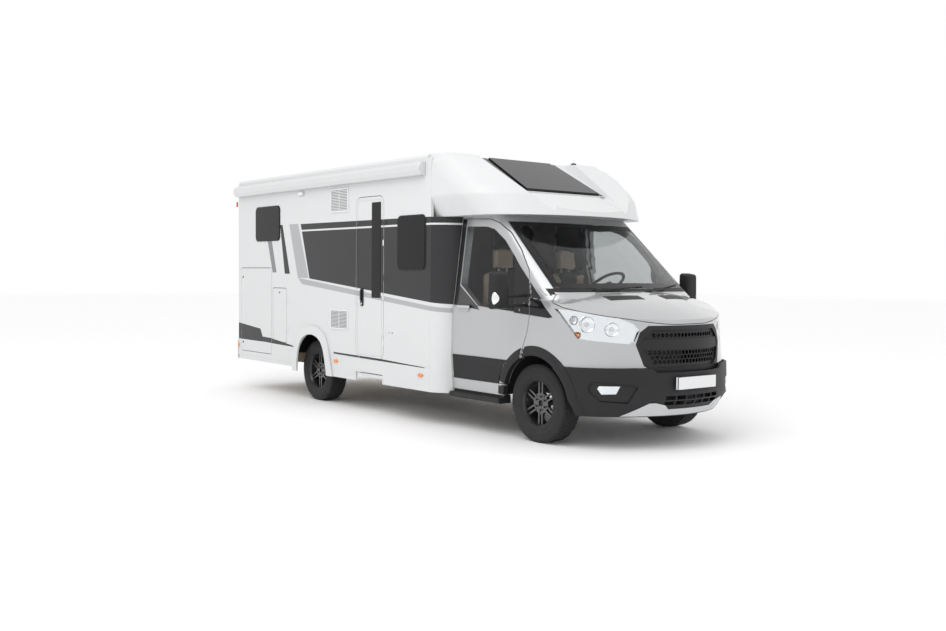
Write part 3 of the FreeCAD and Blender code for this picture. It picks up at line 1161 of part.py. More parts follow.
def wheelShape(out):
    """A cast wheel: rim, dished face with paired spokes, and a hub with its bore."""
    def turned(corners):
        points = [Vector(0, out * a, b) for a, b in corners]
        return Part.Face(Part.makePolygon(points + points[:1])).revolve(Vector(), Vector(0, 1, 0), 360)
    lip, wall, half = s.rimLip, s.rimWall, s.rimHalf
    rim = turned([(-half, lip), (-half, lip - wall), (-half + 30, lip - wall - 14), (half - 30, lip - wall - 14),
                  (half, lip - wall), (half, lip)])
    bore, back, face = s.spindleRadius + s.pinClear, s.wheelFace - s.faceThick - 20, s.wheelFace - 4
    hub = turned([(back, bore), (face, bore), (face, s.hubRadius), (back, s.hubRadius)])
    spokes = []
    for i in range(int(s.spokePairs)):
        for offset in (-s.spokeSpread, s.spokeSpread):
            bar = Part.makeBox(s.spokeWide, s.faceThick, lip - wall - 6 - s.hubRadius + 12,
                               Vector(offset - s.spokeWide / 2, -s.faceThick, s.hubRadius - 12))
            bar.translate(Vector(0, s.wheelFace, 0))
            if out == right:
                bar = bar.mirror(Vector(), Vector(0, 1, 0))
            bar.rotate(Vector(), Vector(0, 1, 0), 360 / s.spokePairs * i)
            spokes.append(bar)
    wheel = rim.fuse([hub] + spokes)
    for i in range(int(s.boltCount)):
        hole = Part.makeCylinder(s.boltRadius, 100, Vector(0, -50, s.boltCircle), Vector(0, 1, 0))
        hole.translate(Vector(0, out * s.wheelFace, 0))
        hole.rotate(Vector(), Vector(0, 1, 0), 360 / s.boltCount * (i + 0.5))
        wheel = wheel.cut(hole)
    return wheel.removeSplitter()


def makeWheels():
    for name, x, side, track in wheelPlaces:
        for label, shape in (("tyre_" + name, tyreShape()), ("wheel_" + name, wheelShape(side))):
            thing = shaped(label, shape)
            moveTo(thing, x, "%s * %s" % (side, track), "tyreRadius")
            keep(label, thing)


def makeCabFloor():
    """Floor between the sills and the strut towers, with the firewall standing on its front end."""
    foot = "floorTop - floorThick + seatGap"
    wide = "%.2f - seatGap" % (sideHalf(s.floorTop - s.floorThick) - s.cabDoorThick - s.postDeep - s.seatGap)
    narrow = "railInner + 5 - seatGap"
    floor = block("cabFloor", "wallFront + seatGap", "-(%s)" % wide, foot, "cabFloorWide - wallFront - seatGap",
                  "2 * (%s)" % wide, "floorThick")
    tunnel = block("cabFloorFront", "cabFloorWide", "-(%s)" % narrow, foot, "fireWallX + fireWallThick - cabFloorWide",
                   "2 * (%s)" % narrow, "floorThick")
    lower = block("fireWallLower", "fireWallX", "-(%s)" % narrow, foot, "fireWallThick", "2 * (%s)" % narrow,
                  "fireWallTop - (%s)" % foot)
    side = "%.2f - seatGap" % (sideHalf(s.fireWallTop) - s.sheetThick)
    upper = block("fireWallUpper", "fireWallX", "-(%s)" % side, "strutTop + 20", "fireWallThick", "2 * (%s)" % side,
                  "fireWallTop - strutTop - 20")
    keep("cab_floor", joined("cab_floor", [floor, tunnel, lower, upper]))


def makeCabInside():
    engine = block("engineMass", "2560", "-330", "450", "520", "640", "560")
    mounts = block("engineMounts", "2700", "-railInner + seatGap", "470", "90", "2 * (railInner - seatGap)", "40")
    keep("engine_block", joined("engine_block", [engine, mounts]))
    makeCabFloor()
    face = "fireWallX - seatGap"
    top = "fireWallTop + seatGap"
    dash = panel("dashBody", "XZ", "dashHalf", "2 * dashHalf",
                 [("2140", "1040"), ("2420", "1000"), (face, "1000"), (face, top), ("2640", top), ("2640", "1290"),
                  ("2330", "1345"), ("2160", "1240")])
    tilt = math.radians(35)
    down = Vector(math.sin(tilt), 0, -math.cos(tilt))
    root = Vector(1940, 450, 1478) + down * (38 + s.seatGap)
    column = Part.makeCylinder(30, 330, root, down)
    document.recompute()
    moulded = dash.Shape.common(cabSolid(s.cabDoorThick))
    keep("dashboard", shaped("dashboard", moulded.fuse(column)))
    seats = []
    for side in (right, left):
        y = "%s * 450" % side
        plinth = block("plinth%d" % side, "1330", "%s - 190" % y, "floorTop + 2 * seatGap", "380", "380", "261")
        cushion = block("cushion%d" % side, "1290", "%s - 250" % y, "floorTop + 261", "500", "500", "130")
        back = block("back%d" % side, "1250", "%s - 240" % y, "floorTop + 300", "120", "480", "700")
        head = block("head%d" % side, "1262", "%s - 130" % y, "floorTop + 995", "90", "260", "230")
        seats.append(joined("seat%d" % side, [plinth, cushion, back, head]))
    keep("cab_seats", gathered("cab_seats", seats))
    ring = Part.makeTorus(190, 15)
    hub = Part.makeCylinder(52, 30, Vector(0, 0, -38))
    spokes = [Part.makeBox(190, 34, 14, Vector(0, -17, -20)) for _ in range(3)]
    for i, spoke in enumerate(spokes):
        spoke.rotate(Vector(), Vector(0, 0, 1), 90 + 90 * i)
    wheel = ring.fuse([hub] + spokes)
    tilt = FreeCAD.Rotation(Vector(0, 0, 1), Vector(-math.sin(math.radians(35)), 0, math.cos(math.radians(35))))
    thing = shaped("steering_wheel", wheel)
    thing.Placement = FreeCAD.Placement(Vector(1940, 450, 1478), tilt)
    keep("steering_wheel", thing)


def makeMirrors():
    for side, label in ((right, "mirror_right"), (left, "mirror_left")):
        out = "mirrorReach - mirrorWide"
        head = panel("mirrorHead%d" % side, "XY", "mirrorFoot", "mirrorHead - mirrorFoot",
                     [("mirrorX - 60", "%s * (%s)" % (side, out)), ("mirrorX + 60", "%s * (%s + 20)" % (side, out)),
                      ("mirrorX + 80", "%s * (mirrorReach - 60)" % side), ("mirrorX - 10", "%s * mirrorReach" % side),
                      ("mirrorX - 60", "%s * mirrorReach" % side)])
        arms = []
        for i, level in enumerate((s.mirrorFoot + 20, s.mirrorFoot + 110)):
            root = "%.2f + seatGap" % max(sideHalf(level), lowerHalf(level))
            low = root if side == left else "-(%s) - 20" % out
            arms.append(block("mirrorArm%d%d" % (side, i), "mirrorX - 22 - %d" % (8 * i), low, "%.1f" % level, "44",
                              "%s + 20 - (%s)" % (out, root), "26"))
        keep(label, joined(label, [head] + arms))


def makeUnderParts():
    tank = block("water_tank", "-700 + crossWide + seatGap", "-railInner + 20", "260",
                 "250 + 700 - crossWide - 2 * seatGap", "2 * (railInner - 20)", "floorTop - floorThick - 260 - seatGap")
    keep("water_tank", tank)


makeCornerMouldings()
makeWalls()
makeRearWall()
makeRoof()
makeRoofHatches()
makeFloor()
makeWheelWells()
makeInnerPanels()
makeSkirts()
makeArchFlares()
makeRearBumper()
makeLids()
makeCoachWindows()
makeFittings()
makeCab()
makeBumper()
makeGrille()
makeFairings()
makeCap()
makeSideSteps()
makeChassis()
makeRearAxle()
makeFrontSubframe()
makeKnuckles()
makeWheels()
makeCabInside()
makeMirrors()
makeUnderParts()
document.recompute()

for thing in document.Objects:
    if "Invalid" in thing.State or "Error" in thing.State:
        raise SystemExit("%s failed: %s" % (thing.Label, thing.State))
os.makedirs("parts", exist_ok=True)
for label, thing in nodes.items():
    shape = thing.Shape
    if shape.isNull() or not shape.isValid() or not shape.Solids:
        raise SystemExit("%s has no valid shape" % label)
    shape.exportStep("parts/%s.step" % label)
    print(label, len(shape.Solids), [round(v) for v in (shape.BoundBox.XMin, shape.BoundBox.XMax,
          shape.BoundBox.YMin, shape.BoundBox.YMax, shape.BoundBox.ZMin, shape.BoundBox.ZMax)])
print("nodes", len(nodes))
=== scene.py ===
import math

import bmesh
import bpy
from mathutils import Matrix, Vector
from mathutils.bvhtree import BVHTree
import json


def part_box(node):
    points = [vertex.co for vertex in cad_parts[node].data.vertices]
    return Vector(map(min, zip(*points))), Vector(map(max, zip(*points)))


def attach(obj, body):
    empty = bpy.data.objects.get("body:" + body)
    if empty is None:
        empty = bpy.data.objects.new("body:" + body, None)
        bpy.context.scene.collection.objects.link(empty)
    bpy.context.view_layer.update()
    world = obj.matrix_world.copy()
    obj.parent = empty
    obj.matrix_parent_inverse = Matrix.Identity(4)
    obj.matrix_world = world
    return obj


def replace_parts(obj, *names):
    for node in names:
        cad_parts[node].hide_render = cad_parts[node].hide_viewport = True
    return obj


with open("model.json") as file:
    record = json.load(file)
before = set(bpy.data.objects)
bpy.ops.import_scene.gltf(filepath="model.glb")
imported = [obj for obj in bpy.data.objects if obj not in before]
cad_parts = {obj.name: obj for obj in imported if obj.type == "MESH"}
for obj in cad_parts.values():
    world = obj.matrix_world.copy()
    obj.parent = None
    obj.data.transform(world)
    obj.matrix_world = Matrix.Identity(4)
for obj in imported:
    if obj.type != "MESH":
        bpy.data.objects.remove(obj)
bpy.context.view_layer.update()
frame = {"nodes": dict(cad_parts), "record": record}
record = frame["record"]
bodyOf = {node: body for body, members in record["behaviour"]["bodies"].items() for node in members}
print("frame loaded", len(frame["nodes"]), "nodes")


# shader groups that several finishes share

def shaderGroup(name, inputs, outputs):
    tree = bpy.data.node_groups.new(name, "ShaderNodeTree")
    for label, kind, value in inputs:
        socket = tree.interface.new_socket(name=label, in_out="INPUT", socket_type="NodeSocket" + kind)
        if value is not None:
            socket.default_value = value
    for label, kind in outputs:
        tree.interface.new_socket(name=label, in_out="OUTPUT", socket_type="NodeSocket" + kind)
    return tree, tree.nodes.new("NodeGroupInput"), tree.nodes.new("NodeGroupOutput")


def mathNode(tree, operation, first, second=None):
    node = tree.nodes.new("ShaderNodeMath")
    node.operation = operation
    for socket, value in zip(node.inputs, (first, second)):
        if isinstance(value, bpy.types.NodeSocket):
            tree.links.new(value, socket)
        elif value is not None:
            socket.default_value = value
    return node.outputs[0]


def objectPoint(tree):
    return tree.nodes.new("ShaderNodeTexCoord").outputs["Object"]


def noiseNode(tree, scale, detail=3.0):
    node = tree.nodes.new("ShaderNodeTexNoise")
    node.inputs["Detail"].default_value = detail
    tree.links.new(objectPoint(tree), node.inputs["Vector"])
    if isinstance(scale, bpy.types.NodeSocket):
        tree.links.new(scale, node.inputs["Scale"])
    else:
        node.inputs["Scale"].default_value = scale
    return node.outputs["Fac"]


def mixColour(tree, share, first, second):
    node = tree.nodes.new("ShaderNodeMix")
    node.data_type = "RGBA"
    sockets = [node.inputs[0], node.inputs[6], node.inputs[7]]
    for socket, value in zip(sockets, (share, first, second)):
        if isinstance(value, bpy.types.NodeSocket):
            tree.links.new(value, socket)
        else:
            socket.default_value = value if not isinstance(value, tuple) else (*value, 1)
    return node.outputs[2]


def makeGrainGroup():
    # a fine moulded grain as a normal
    inputs = [("Scale", "Float", 300), ("Height", "Float", 0.2)]
    tree, given, made = shaderGroup("grain", inputs, [("Normal", "Vector")])
    bump = tree.nodes.new("ShaderNodeBump")
    bump.inputs["Distance"].default_value = 0.001
    tree.links.new(noiseNode(tree, given.outputs["Scale"]), bump.inputs["Height"])
    tree.links.new(given.outputs["Height"], bump.inputs["Strength"])
    tree.links.new(bump.outputs["Normal"], made.inputs["Normal"])
    return tree


def makeToneGroup():
    # slow changes of tone over a surface
    inputs = [("Colour", "Color", (1, 1, 1, 1)), ("Scale", "Float", 3), ("Amount", "Float", 0.05)]
    tree, given, made = shaderGroup("tone", inputs, [("Colour", "Color")])
    noise = noiseNode(tree, given.outputs["Scale"])
    shift = mathNode(tree, "MULTIPLY", mathNode(tree, "SUBTRACT", noise, 0.5), given.outputs["Amount"])
    factor = mathNode(tree, "ADD", shift, 1.0)
    scale = tree.nodes.new("ShaderNodeVectorMath")
    scale.operation = "SCALE"
    tree.links.new(given.outputs["Colour"], scale.inputs[0])
    tree.links.new(factor, scale.inputs["Scale"])
    tree.links.new(scale.outputs[0], made.inputs["Colour"])
    return tree


def makeGlossGroup():
    # gloss that varies round one roughness
    inputs = [("Roughness", "Float", 0.3), ("Scale", "Float", 20), ("Amount", "Float", 0.1)]
    tree, given, made = shaderGroup("gloss", inputs, [("Roughness", "Float")])
    shift = mathNode(tree, "MULTIPLY", mathNode(tree, "SUBTRACT", noiseNode(tree, given.outputs["Scale"]), 0.5),
                     given.outputs["Amount"])
    tree.links.new(mathNode(tree, "ADD", given.outputs["Roughness"], shift), made.inputs["Roughness"])
    return tree


roadDust = {"colour": (0.33, 0.30, 0.26), "top": 0.6, "scale": 9.0, "detail": 5.0}


def makeDustGroup():
    # road dust that thickens towards the ground
    inputs = [("Colour", "Color", (1, 1, 1, 1)), ("Top", "Float", 0.5), ("Amount", "Float", 0.15)]
    tree, given, made = shaderGroup("dust", inputs, [("Colour", "Color")])
    split = tree.nodes.new("ShaderNodeSeparateXYZ")
    tree.links.new(objectPoint(tree), split.inputs[0])
    depth = mathNode(tree, "SUBTRACT", 1.0, mathNode(tree, "DIVIDE", split.outputs["Z"], given.outputs["Top"]))
    shade = mathNode(tree, "MULTIPLY", mathNode(tree, "MAXIMUM", depth, 0.0), given.outputs["Amount"])
    share = mathNode(tree, "MULTIPLY", shade, noiseNode(tree, roadDust["scale"], roadDust["detail"]))
    tree.links.new(mixColour(tree, share, given.outputs["Colour"], roadDust["colour"]), made.inputs["Colour"])
    return tree


groups = {"grain": makeGrainGroup(), "tone": makeToneGroup(), "gloss": makeGlossGroup(), "dust": makeDustGroup()}


def groupNode(tree, name, **values):
    node = tree.nodes.new("ShaderNodeGroup")
    node.node_tree = groups[name]
    for label, value in values.items():
        if isinstance(value, bpy.types.NodeSocket):
            tree.links.new(value, node.inputs[label])
        else:
            node.inputs[label].default_value = (*value, 1) if isinstance(value, tuple) else value
    return node.outputs[0]


def finish(name, colour, roughness, metallic=0.0, tone=0.05, toneScale=3.0, gloss=0.1, grain=0.0, grainScale=400.0,
           dust=0.0, **sockets):
    material = bpy.data.materials.new(name)
    material.use_nodes = True
    tree = material.node_tree
    shader = tree.nodes["Principled BSDF"]
    tint = groupNode(tree, "tone", Colour=colour, Scale=toneScale, Amount=tone)
    if dust:
        tint = groupNode(tree, "dust", Colour=tint, Top=roadDust["top"], Amount=dust)
    tree.links.new(tint, shader.inputs["Base Color"])
    tree.links.new(groupNode(tree, "gloss", Roughness=roughness, Amount=gloss), shader.inputs["Roughness"])
    shader.inputs["Metallic"].default_value = metallic
    if grain:
        tree.links.new(groupNode(tree, "grain", Scale=grainScale, Height=grain), shader.inputs["Normal"])
    for label, value in sockets.items():
        shader.inputs[label.replace("_", " ")].default_value = value
    return material


def halfPlanes(tree, point, corners):
    # 1 inside a convex outline in X and Z, which may run either way round
    area = sum(a[0] * b[1] - b[0] * a[1] for a, b in zip(corners, corners[1:] + corners[:1]))
    turn = 1 if area > 0 else -1
    share = None
    for a, b in zip(corners, corners[1:] + corners[:1]):
        normal = Vector((-(b[1] - a[1]), 0, b[0] - a[0])).normalized() * turn
        dot = tree.nodes.new("ShaderNodeVectorMath")
        dot.operation = "DOT_PRODUCT"
        tree.links.new(point, dot.inputs[0])
        dot.inputs[1].default_value = normal
        inside = mathNode(tree, "GREATER_THAN", dot.outputs["Value"], normal.x * a[0] + normal.z * a[1])
        share = inside if share is None else mathNode(tree, "MULTIPLY", share, inside)
    return share


coachStripes = {  # colours, outlines in X and Z, and the order in which they are painted
    "white": (0.66, 0.668, 0.672),
    "dark": (0.024, 0.024, 0.026),
    "light": (0.40, 0.405, 0.415),
    "middle": (0.22, 0.224, 0.23),
    "band": [(-1.733, 2.165), (-1.512, 1.495), (1.3, 1.245), (1.3, 2.15)],
    "pinstripe": [(-1.72, 2.072), (1.3, 2.068), (1.3, 2.088), (-1.72, 2.092)],
    "lightBand": [(-1.80, 1.502), (-1.55, 1.478), (1.3, 1.228), (1.3, 1.158), (-1.70, 1.425)],
    "lightSlash": [(-2.026, 2.17), (-1.797, 2.17), (-1.534, 1.50), (-1.803, 1.50)],
    "slashOne": [(-2.614, 1.978), (-2.497, 1.978), (-2.365, 1.565), (-2.472, 1.565)],
    "slashTwo": [(-2.270, 2.17), (-2.203, 2.17), (-2.009, 1.55), (-2.144, 1.55)],
    "lowOne": [(-3.489, 0.658), (-3.488, 0.880), (-2.819, 0.822), (-2.765, 0.739), (-2.74, 0.653)],
    "lowTwo": [(-2.80, 0.654), (-2.79, 0.742), (-2.538, 0.715), (-1.880, 0.698), (-1.919, 0.628), (-2.452, 0.646)],
    "lowThree": [(-0.955, 0.663), (-0.931, 0.616), (0.910, 0.585), (0.856, 0.613), (0.105, 0.623)],
    "order": (("lightSlash", "light"), ("lightBand", "light"), ("band", "dark"), ("pinstripe", "white"),
              ("slashOne", "middle"), ("slashTwo", "dark"), ("lowOne", "dark"), ("lowTwo", "dark"),
              ("lowThree", "dark")),
    "outward": 0.10,
}


def makeCoachPaint():
    # white with stripes, which show only on the faces that look outwards to the sides
    material = finish("coachPaint", coachStripes["white"], 0.34, tone=0.02, gloss=0.05, grain=0.03, grainScale=700.0,
                      Specular_IOR_Level=0.35)
    tree = material.node_tree
    shader = tree.nodes["Principled BSDF"]
    coords = tree.nodes.new("ShaderNodeTexCoord")
    point = coords.outputs["Object"]
    place, facing = tree.nodes.new("ShaderNodeSeparateXYZ"), tree.nodes.new("ShaderNodeSeparateXYZ")
    tree.links.new(point, place.inputs[0])
    tree.links.new(coords.outputs["Normal"], facing.inputs[0])
    sideways = mathNode(tree, "MULTIPLY", place.outputs["Y"], facing.outputs["Y"])
    outward = mathNode(tree, "GREATER_THAN", sideways, coachStripes["outward"])
    colour = shader.inputs["Base Color"].links[0].from_socket
    for key, tone in coachStripes["order"]:
        mask = mathNode(tree, "MULTIPLY", halfPlanes(tree, point, coachStripes[key]), outward)
        colour = mixColour(tree, mask, colour, coachStripes[tone])
    tree.links.new(colour, shader.inputs["Base Color"])
    return material


def makeCabPaint(name="cabPaint", dark=()):
    material = finish(name, (0.44, 0.445, 0.452), 0.30, metallic=0.5, tone=0.02, gloss=0.05, grain=0.05,
                      grainScale=2500.0, Coat_Weight=1.0, Coat_Roughness=0.04)
    tree = material.node_tree
    shader = tree.nodes["Principled BSDF"]
    colour = shader.inputs["Base Color"].links[0].from_socket
    for corners in dark:
        colour = mixColour(tree, halfPlanes(tree, objectPoint(tree), corners), colour, coachStripes["dark"])
    tree.links.new(colour, shader.inputs["Base Color"])
    return material


cabDoorDark = [[(1.18, 2.16), (1.18, 1.45), (1.262, 1.45), (1.262, 2.16)],
               [(1.18, 1.4501), (1.18, 1.2555), (1.64, 1.213), (1.262, 1.4501)]]
finishValues = {
    "whitePlastic": dict(colour=(0.74, 0.75, 0.755), roughness=0.42, grain=0.06, grainScale=500.0),
    "greyPlastic": dict(colour=(0.33, 0.335, 0.34), roughness=0.45, grain=0.08),
    "blackPlastic": dict(colour=(0.016, 0.016, 0.017), roughness=0.50, tone=0.1, grain=0.30, grainScale=900.0,
                         dust=0.05, Specular_IOR_Level=0.28),
    "glossBlack": dict(colour=(0.008, 0.008, 0.009), roughness=0.14, gloss=0.04, Specular_IOR_Level=0.35),
    "acrylic": dict(colour=(0.006, 0.006, 0.007), roughness=0.12, gloss=0.03, Specular_IOR_Level=0.22),
    "windowGlass": dict(colour=(0.62, 0.64, 0.64), roughness=0.015, tone=0.0, gloss=0.0, Transmission_Weight=1.0,
                        IOR=1.25),
    "lampGlass": dict(colour=(0.96, 0.97, 0.98), roughness=0.02, tone=0.0, gloss=0.0, Transmission_Weight=1.0,
                      IOR=1.2),
    "chrome": dict(colour=(0.82, 0.83, 0.84), roughness=0.08, metallic=1.0, tone=0.02, gloss=0.04),
    "lampBowl": dict(colour=(0.86, 0.87, 0.88), roughness=0.12, metallic=1.0, tone=0.1, toneScale=30.0),
    "satinSilver": dict(colour=(0.62, 0.63, 0.64), roughness=0.32, metallic=0.8, tone=0.03, grain=0.05),
    "anodised": dict(colour=(0.70, 0.705, 0.71), roughness=0.36, metallic=0.55, tone=0.03),
    "rubber": dict(colour=(0.018, 0.018, 0.018), roughness=0.72, grain=0.15),
    "tyre": dict(colour=(0.020, 0.020, 0.021), roughness=0.74, tone=0.18, toneScale=6.0, grain=0.22, grainScale=350.0,
                 dust=0.06, Specular_IOR_Level=0.3),
    "wheelDark": dict(colour=(0.035, 0.036, 0.04), roughness=0.34, metallic=0.6, dust=0.10, Coat_Weight=0.5),
    "wheelFace": dict(colour=(0.095, 0.096, 0.10), roughness=0.36, metallic=0.6, dust=0.10, Coat_Weight=0.4),
    "chassisPaint": dict(colour=(0.02, 0.02, 0.021), roughness=0.55, tone=0.2, grain=0.1, dust=0.3),
    "castIron": dict(colour=(0.14, 0.14, 0.145), roughness=0.6, metallic=0.6, tone=0.25, toneScale=14.0, grain=0.3,
                     grainScale=200.0),
    "board": dict(colour=(0.40, 0.33, 0.26), roughness=0.5, tone=0.12, toneScale=2.0),
    "orangeLens": dict(colour=(0.85, 0.24, 0.02), roughness=0.12, gloss=0.03, Coat_Weight=0.5),
    "redLens": dict(colour=(0.55, 0.01, 0.01), roughness=0.12, gloss=0.03, Coat_Weight=0.5),
    "clearLens": dict(colour=(0.80, 0.81, 0.82), roughness=0.12, gloss=0.03, Coat_Weight=0.5),
    "seatCloth": dict(colour=(0.05, 0.05, 0.052), roughness=0.85, tone=0.15, toneScale=60.0, grain=0.5,
                      grainScale=1200.0),
    "seatLeather": dict(colour=(0.66, 0.52, 0.39), roughness=0.52, tone=0.1, toneScale=12.0, grain=0.25,
                        grainScale=260.0),
}
finishes = {"coachPaint": makeCoachPaint(), "cabPaint": makeCabPaint(),
            "cabDoorPaint": makeCabPaint("cabDoorPaint", cabDoorDark)}
for name, values in finishValues.items():
    finishes[name] = finish(name, **values)
print("finishes", len(finishes))

# angles in degrees, lengths in metres
smoothing = {"sharp": 32.0, "bevel": 40.0, "weight": 80, "weld": 1e-5, "nodeWeld": 2e-5, "flat": 0.4}


def addPiece(name, mesh, material, body, sharp=smoothing["sharp"]):
    # a finished mesh at the origin, riding on its body
    piece = bpy.data.objects.new(name, mesh)
    bpy.context.scene.collection.objects.link(piece)
    mesh.materials.clear()
    mesh.materials.append(finishes[material])
    mesh.shade_smooth()
    mesh.set_sharp_from_angle(angle=math.radians(sharp))
    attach(piece, body)
    return piece


def fromBmesh(name, bm, material, body, sharp=smoothing["sharp"], welded=True):
    if welded:
        bmesh.ops.remove_doubles(bm, verts=bm.verts, dist=smoothing["weld"])
        bmesh.ops.recalc_face_normals(bm, faces=bm.faces)
    mesh = bpy.data.meshes.new(name)
    bm.to_mesh(mesh)
    bm.free()
    return addPiece(name, mesh, material, body, sharp)


def softened(piece, width, segments=2):
    bevel = piece.modifiers.new("softened", "BEVEL")
    bevel.width, bevel.segments, bevel.limit_method = width, segments, "ANGLE"
    bevel.angle_limit = math.radians(smoothing["bevel"])
    bevel.use_clamp_overlap = True
    flat = piece.modifiers.new("flat", "WEIGHTED_NORMAL")
    flat.keep_sharp, flat.weight = True, smoothing["weight"]
    return piece


def camelName(node, ending=""):
    words = node.split("_")
    return words[0] + "".join(word.capitalize() for word in words[1:]) + ending


def mergedMesh(node):
    bm = bmesh.new()
    bm.from_mesh(frame["nodes"][node].data)
    bmesh.ops.remove_doubles(bm, verts=bm.verts, dist=smoothing["nodeWeld"])
    bmesh.ops.dissolve_limit(bm, angle_limit=math.radians(smoothing["flat"]), verts=bm.verts, edges=bm.edges)
    return bm


nodeFinish = {
    "coachPaint": ["corner_mouldings", "wall_right", "wall_left", "wall_rear", "roof_deck", "entry_door",
                   "garage_door_right", "garage_door_left", "service_flap", "skirts", "arch_flares", "rear_bumper",
                   "overcab_cap", "fairings"],
    "cabPaint": ["cab_body", "bonnet"],
    "cabDoorPaint": ["cab_door_right", "cab_door_left"],
    "acrylic": ["coach_windows", "entry_window", "roof_window"],
    "windowGlass": ["windscreen", "door_glass_right", "door_glass_left"],
    "blackPlastic": ["front_bumper", "grille", "wheel_housings", "dashboard", "step_housing", "water_tank",
                     "cab_steps"],
    "rubber": ["steering_wheel"],
    "whitePlastic": ["roof_hatches", "number_plate"],
    "anodised": ["awning_cassette", "entry_step"],
    "board": ["floor_deck", "bed_platform"],
    "chassisPaint": ["chassis_frame", "rear_axle", "rear_springs", "front_subframe", "knuckle_right", "knuckle_left",
                     "cab_floor"],
    "castIron": ["engine_block"],
    "redLens": ["tail_lamps"],
    "wheelDark": ["wheel_front_right", "wheel_front_left", "wheel_rear_right", "wheel_rear_left"],
}
edgeWidth = {"plain": 0.0015, "overcab_cap": 0.006, "arch_flares": 0.005, "awning_cassette": 0.006,
             "front_bumper": 0.004, "coach_windows": 0.004, "entry_window": 0.004}


def dress(node, material):
    # a merged copy of a CAD node with its finish and slightly softened edges
    piece = fromBmesh(camelName(node, "Skin"), mergedMesh(node), material, bodyOf[node], welded=False)
    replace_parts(piece, node)
    return softened(piece, edgeWidth.get(node, edgeWidth["plain"]))


dressed = {node: dress(node, material) for material, members in nodeFinish.items() for node in members}
print("dressed", len(dressed), "nodes")


# shapes that many pieces share

def facing(side):
    # the turn that lays a flat outline on the right or left wall, or on a face that looks back or forward
    rows = {"right": ((1, 0, 0), (0, 0, 1), (0, -1, 0)), "left": ((-1, 0, 0), (0, 0, 1), (0, 1, 0)),
            "rear": ((0, -1, 0), (0, 0, 1), (-1, 0, 0)), "front": ((0, 1, 0), (0, 0, 1), (1, 0, 0))}[side]
    return Matrix(rows).transposed().to_4x4()


def outline(bm, wide, high, radius, segments=5):
    made = bmesh.ops.create_grid(bm, x_segments=1, y_segments=1, size=0.5)
    bmesh.ops.scale(bm, vec=(wide, high, 1), verts=made["verts"])
    bmesh.ops.bevel(bm, geom=made["verts"], offset=radius, segments=segments, profile=0.5, affect="VERTICES")
    return bm.faces[:]


def raised(bm, faces, thick):
    made = bmesh.ops.extrude_face_region(bm, geom=faces)
    top = [item for item in made["geom"] if isinstance(item, bmesh.types.BMVert)]
    bmesh.ops.translate(bm, vec=(0, 0, thick), verts=top)


def plate(name, side, centre, wide, high, radius, thick, material, body, slot, border=0.0, soft=0.0015):
    # a rounded plate, or a ring where it has a border, lying on a wall
    bm = bmesh.new()
    faces = outline(bm, wide, high, radius)
    if border:
        bm.normal_update()
        bmesh.ops.inset_region(bm, faces=faces, thickness=border, use_boundary=True, use_even_offset=True)
        bmesh.ops.delete(bm, geom=[max(bm.faces, key=lambda face: len(face.verts))], context="FACES_ONLY")
    raised(bm, bm.faces[:], thick)
    bmesh.ops.transform(bm, matrix=Matrix.Translation(centre) @ facing(side), verts=bm.verts)
    piece = fromBmesh(name, bm, material, body)
    return softened(piece, soft) if soft else piece


def boxes(name, sizes, material, body, soft=0.001, turn=Matrix()):
    # small blocks as one mesh: each has a centre and a size
    bm = bmesh.new()
    for centre, size in sizes:
        bmesh.ops.create_cube(bm, size=1, matrix=Matrix.Translation(centre) @ turn @ Matrix.Diagonal((*size, 1)))
    piece = fromBmesh(name, bm, material, body, welded=False)
    return softened(piece, soft) if soft else piece


def lathe(name, profile, centre, material, body, axis=(0, 1, 0), steps=28, sharp=smoothing["sharp"]):
    # a profile of (radius, place along the axis) turned once round
    bm = bmesh.new()
    verts = [bm.verts.new((radius, along, 0)) for radius, along in profile]
    edges = [bm.edges.new(pair) for pair in zip(verts, verts[1:])]
    bmesh.ops.spin(bm, geom=verts + edges, cent=(0, 0, 0), axis=(0, 1, 0), angle=math.tau, steps=steps, use_merge=True)
    turn = Vector((0, 1, 0)).rotation_difference(Vector(axis)).to_matrix().to_4x4()
    bmesh.ops.transform(bm, matrix=Matrix.Translation(centre) @ turn, verts=bm.verts)
    return fromBmesh(name, bm, material, body, sharp)


def tube(name, points, radius, material, body, segments=10):
    # a round bar along a smooth line
    curve = bpy.data.curves.new(name, "CURVE")
    curve.dimensions = "3D"
    spline = curve.splines.new("NURBS")
    spline.points.add(len(points) - 1)
    for spot, place in zip(spline.points, points):
        spot.co = (*place, 1)
    spline.order_u, spline.use_endpoint_u = 3, True
    curve.bevel_depth, curve.bevel_resolution, curve.resolution_u, curve.use_fill_caps = radius, 3, segments, True
    holder = bpy.data.objects.new(name + "Path", curve)
    mesh = bpy.data.meshes.new_from_object(holder)
    bpy.data.objects.remove(holder)
    return addPiece(name, mesh, material, body, 60)


def skinTree(*nodes):
    bm = bmesh.new()
    for node in nodes:
        bm.from_mesh(frame["nodes"][node].data)
    tree = BVHTree.FromBMesh(bm)
    bm.free()
    return tree


def cutFine(bm, step):
    for axis in range(3):
        low, high = min(v.co[axis] for v in bm.verts), max(v.co[axis] for v in bm.verts)
        normal = Vector([1 if i == axis else 0 for i in range(3)])
        for i in range(1, int((high - low) / step)):
            geom = bm.verts[:] + bm.edges[:] + bm.faces[:]
            bmesh.ops.bisect_plane(bm, geom=geom, dist=1e-5, plane_co=normal * (low + i * step), plane_no=normal)


def laidOn(bm, tree, ahead, lift):
    # every corner is dropped along a direction on to the skin, and those that miss it are given back
    missed = []
    for vert in bm.verts:
        place = tree.ray_cast(vert.co - ahead * 3, ahead)[0]
        if place is None:
            missed.append(vert)
        else:
            vert.co = place - ahead * lift
    return missed


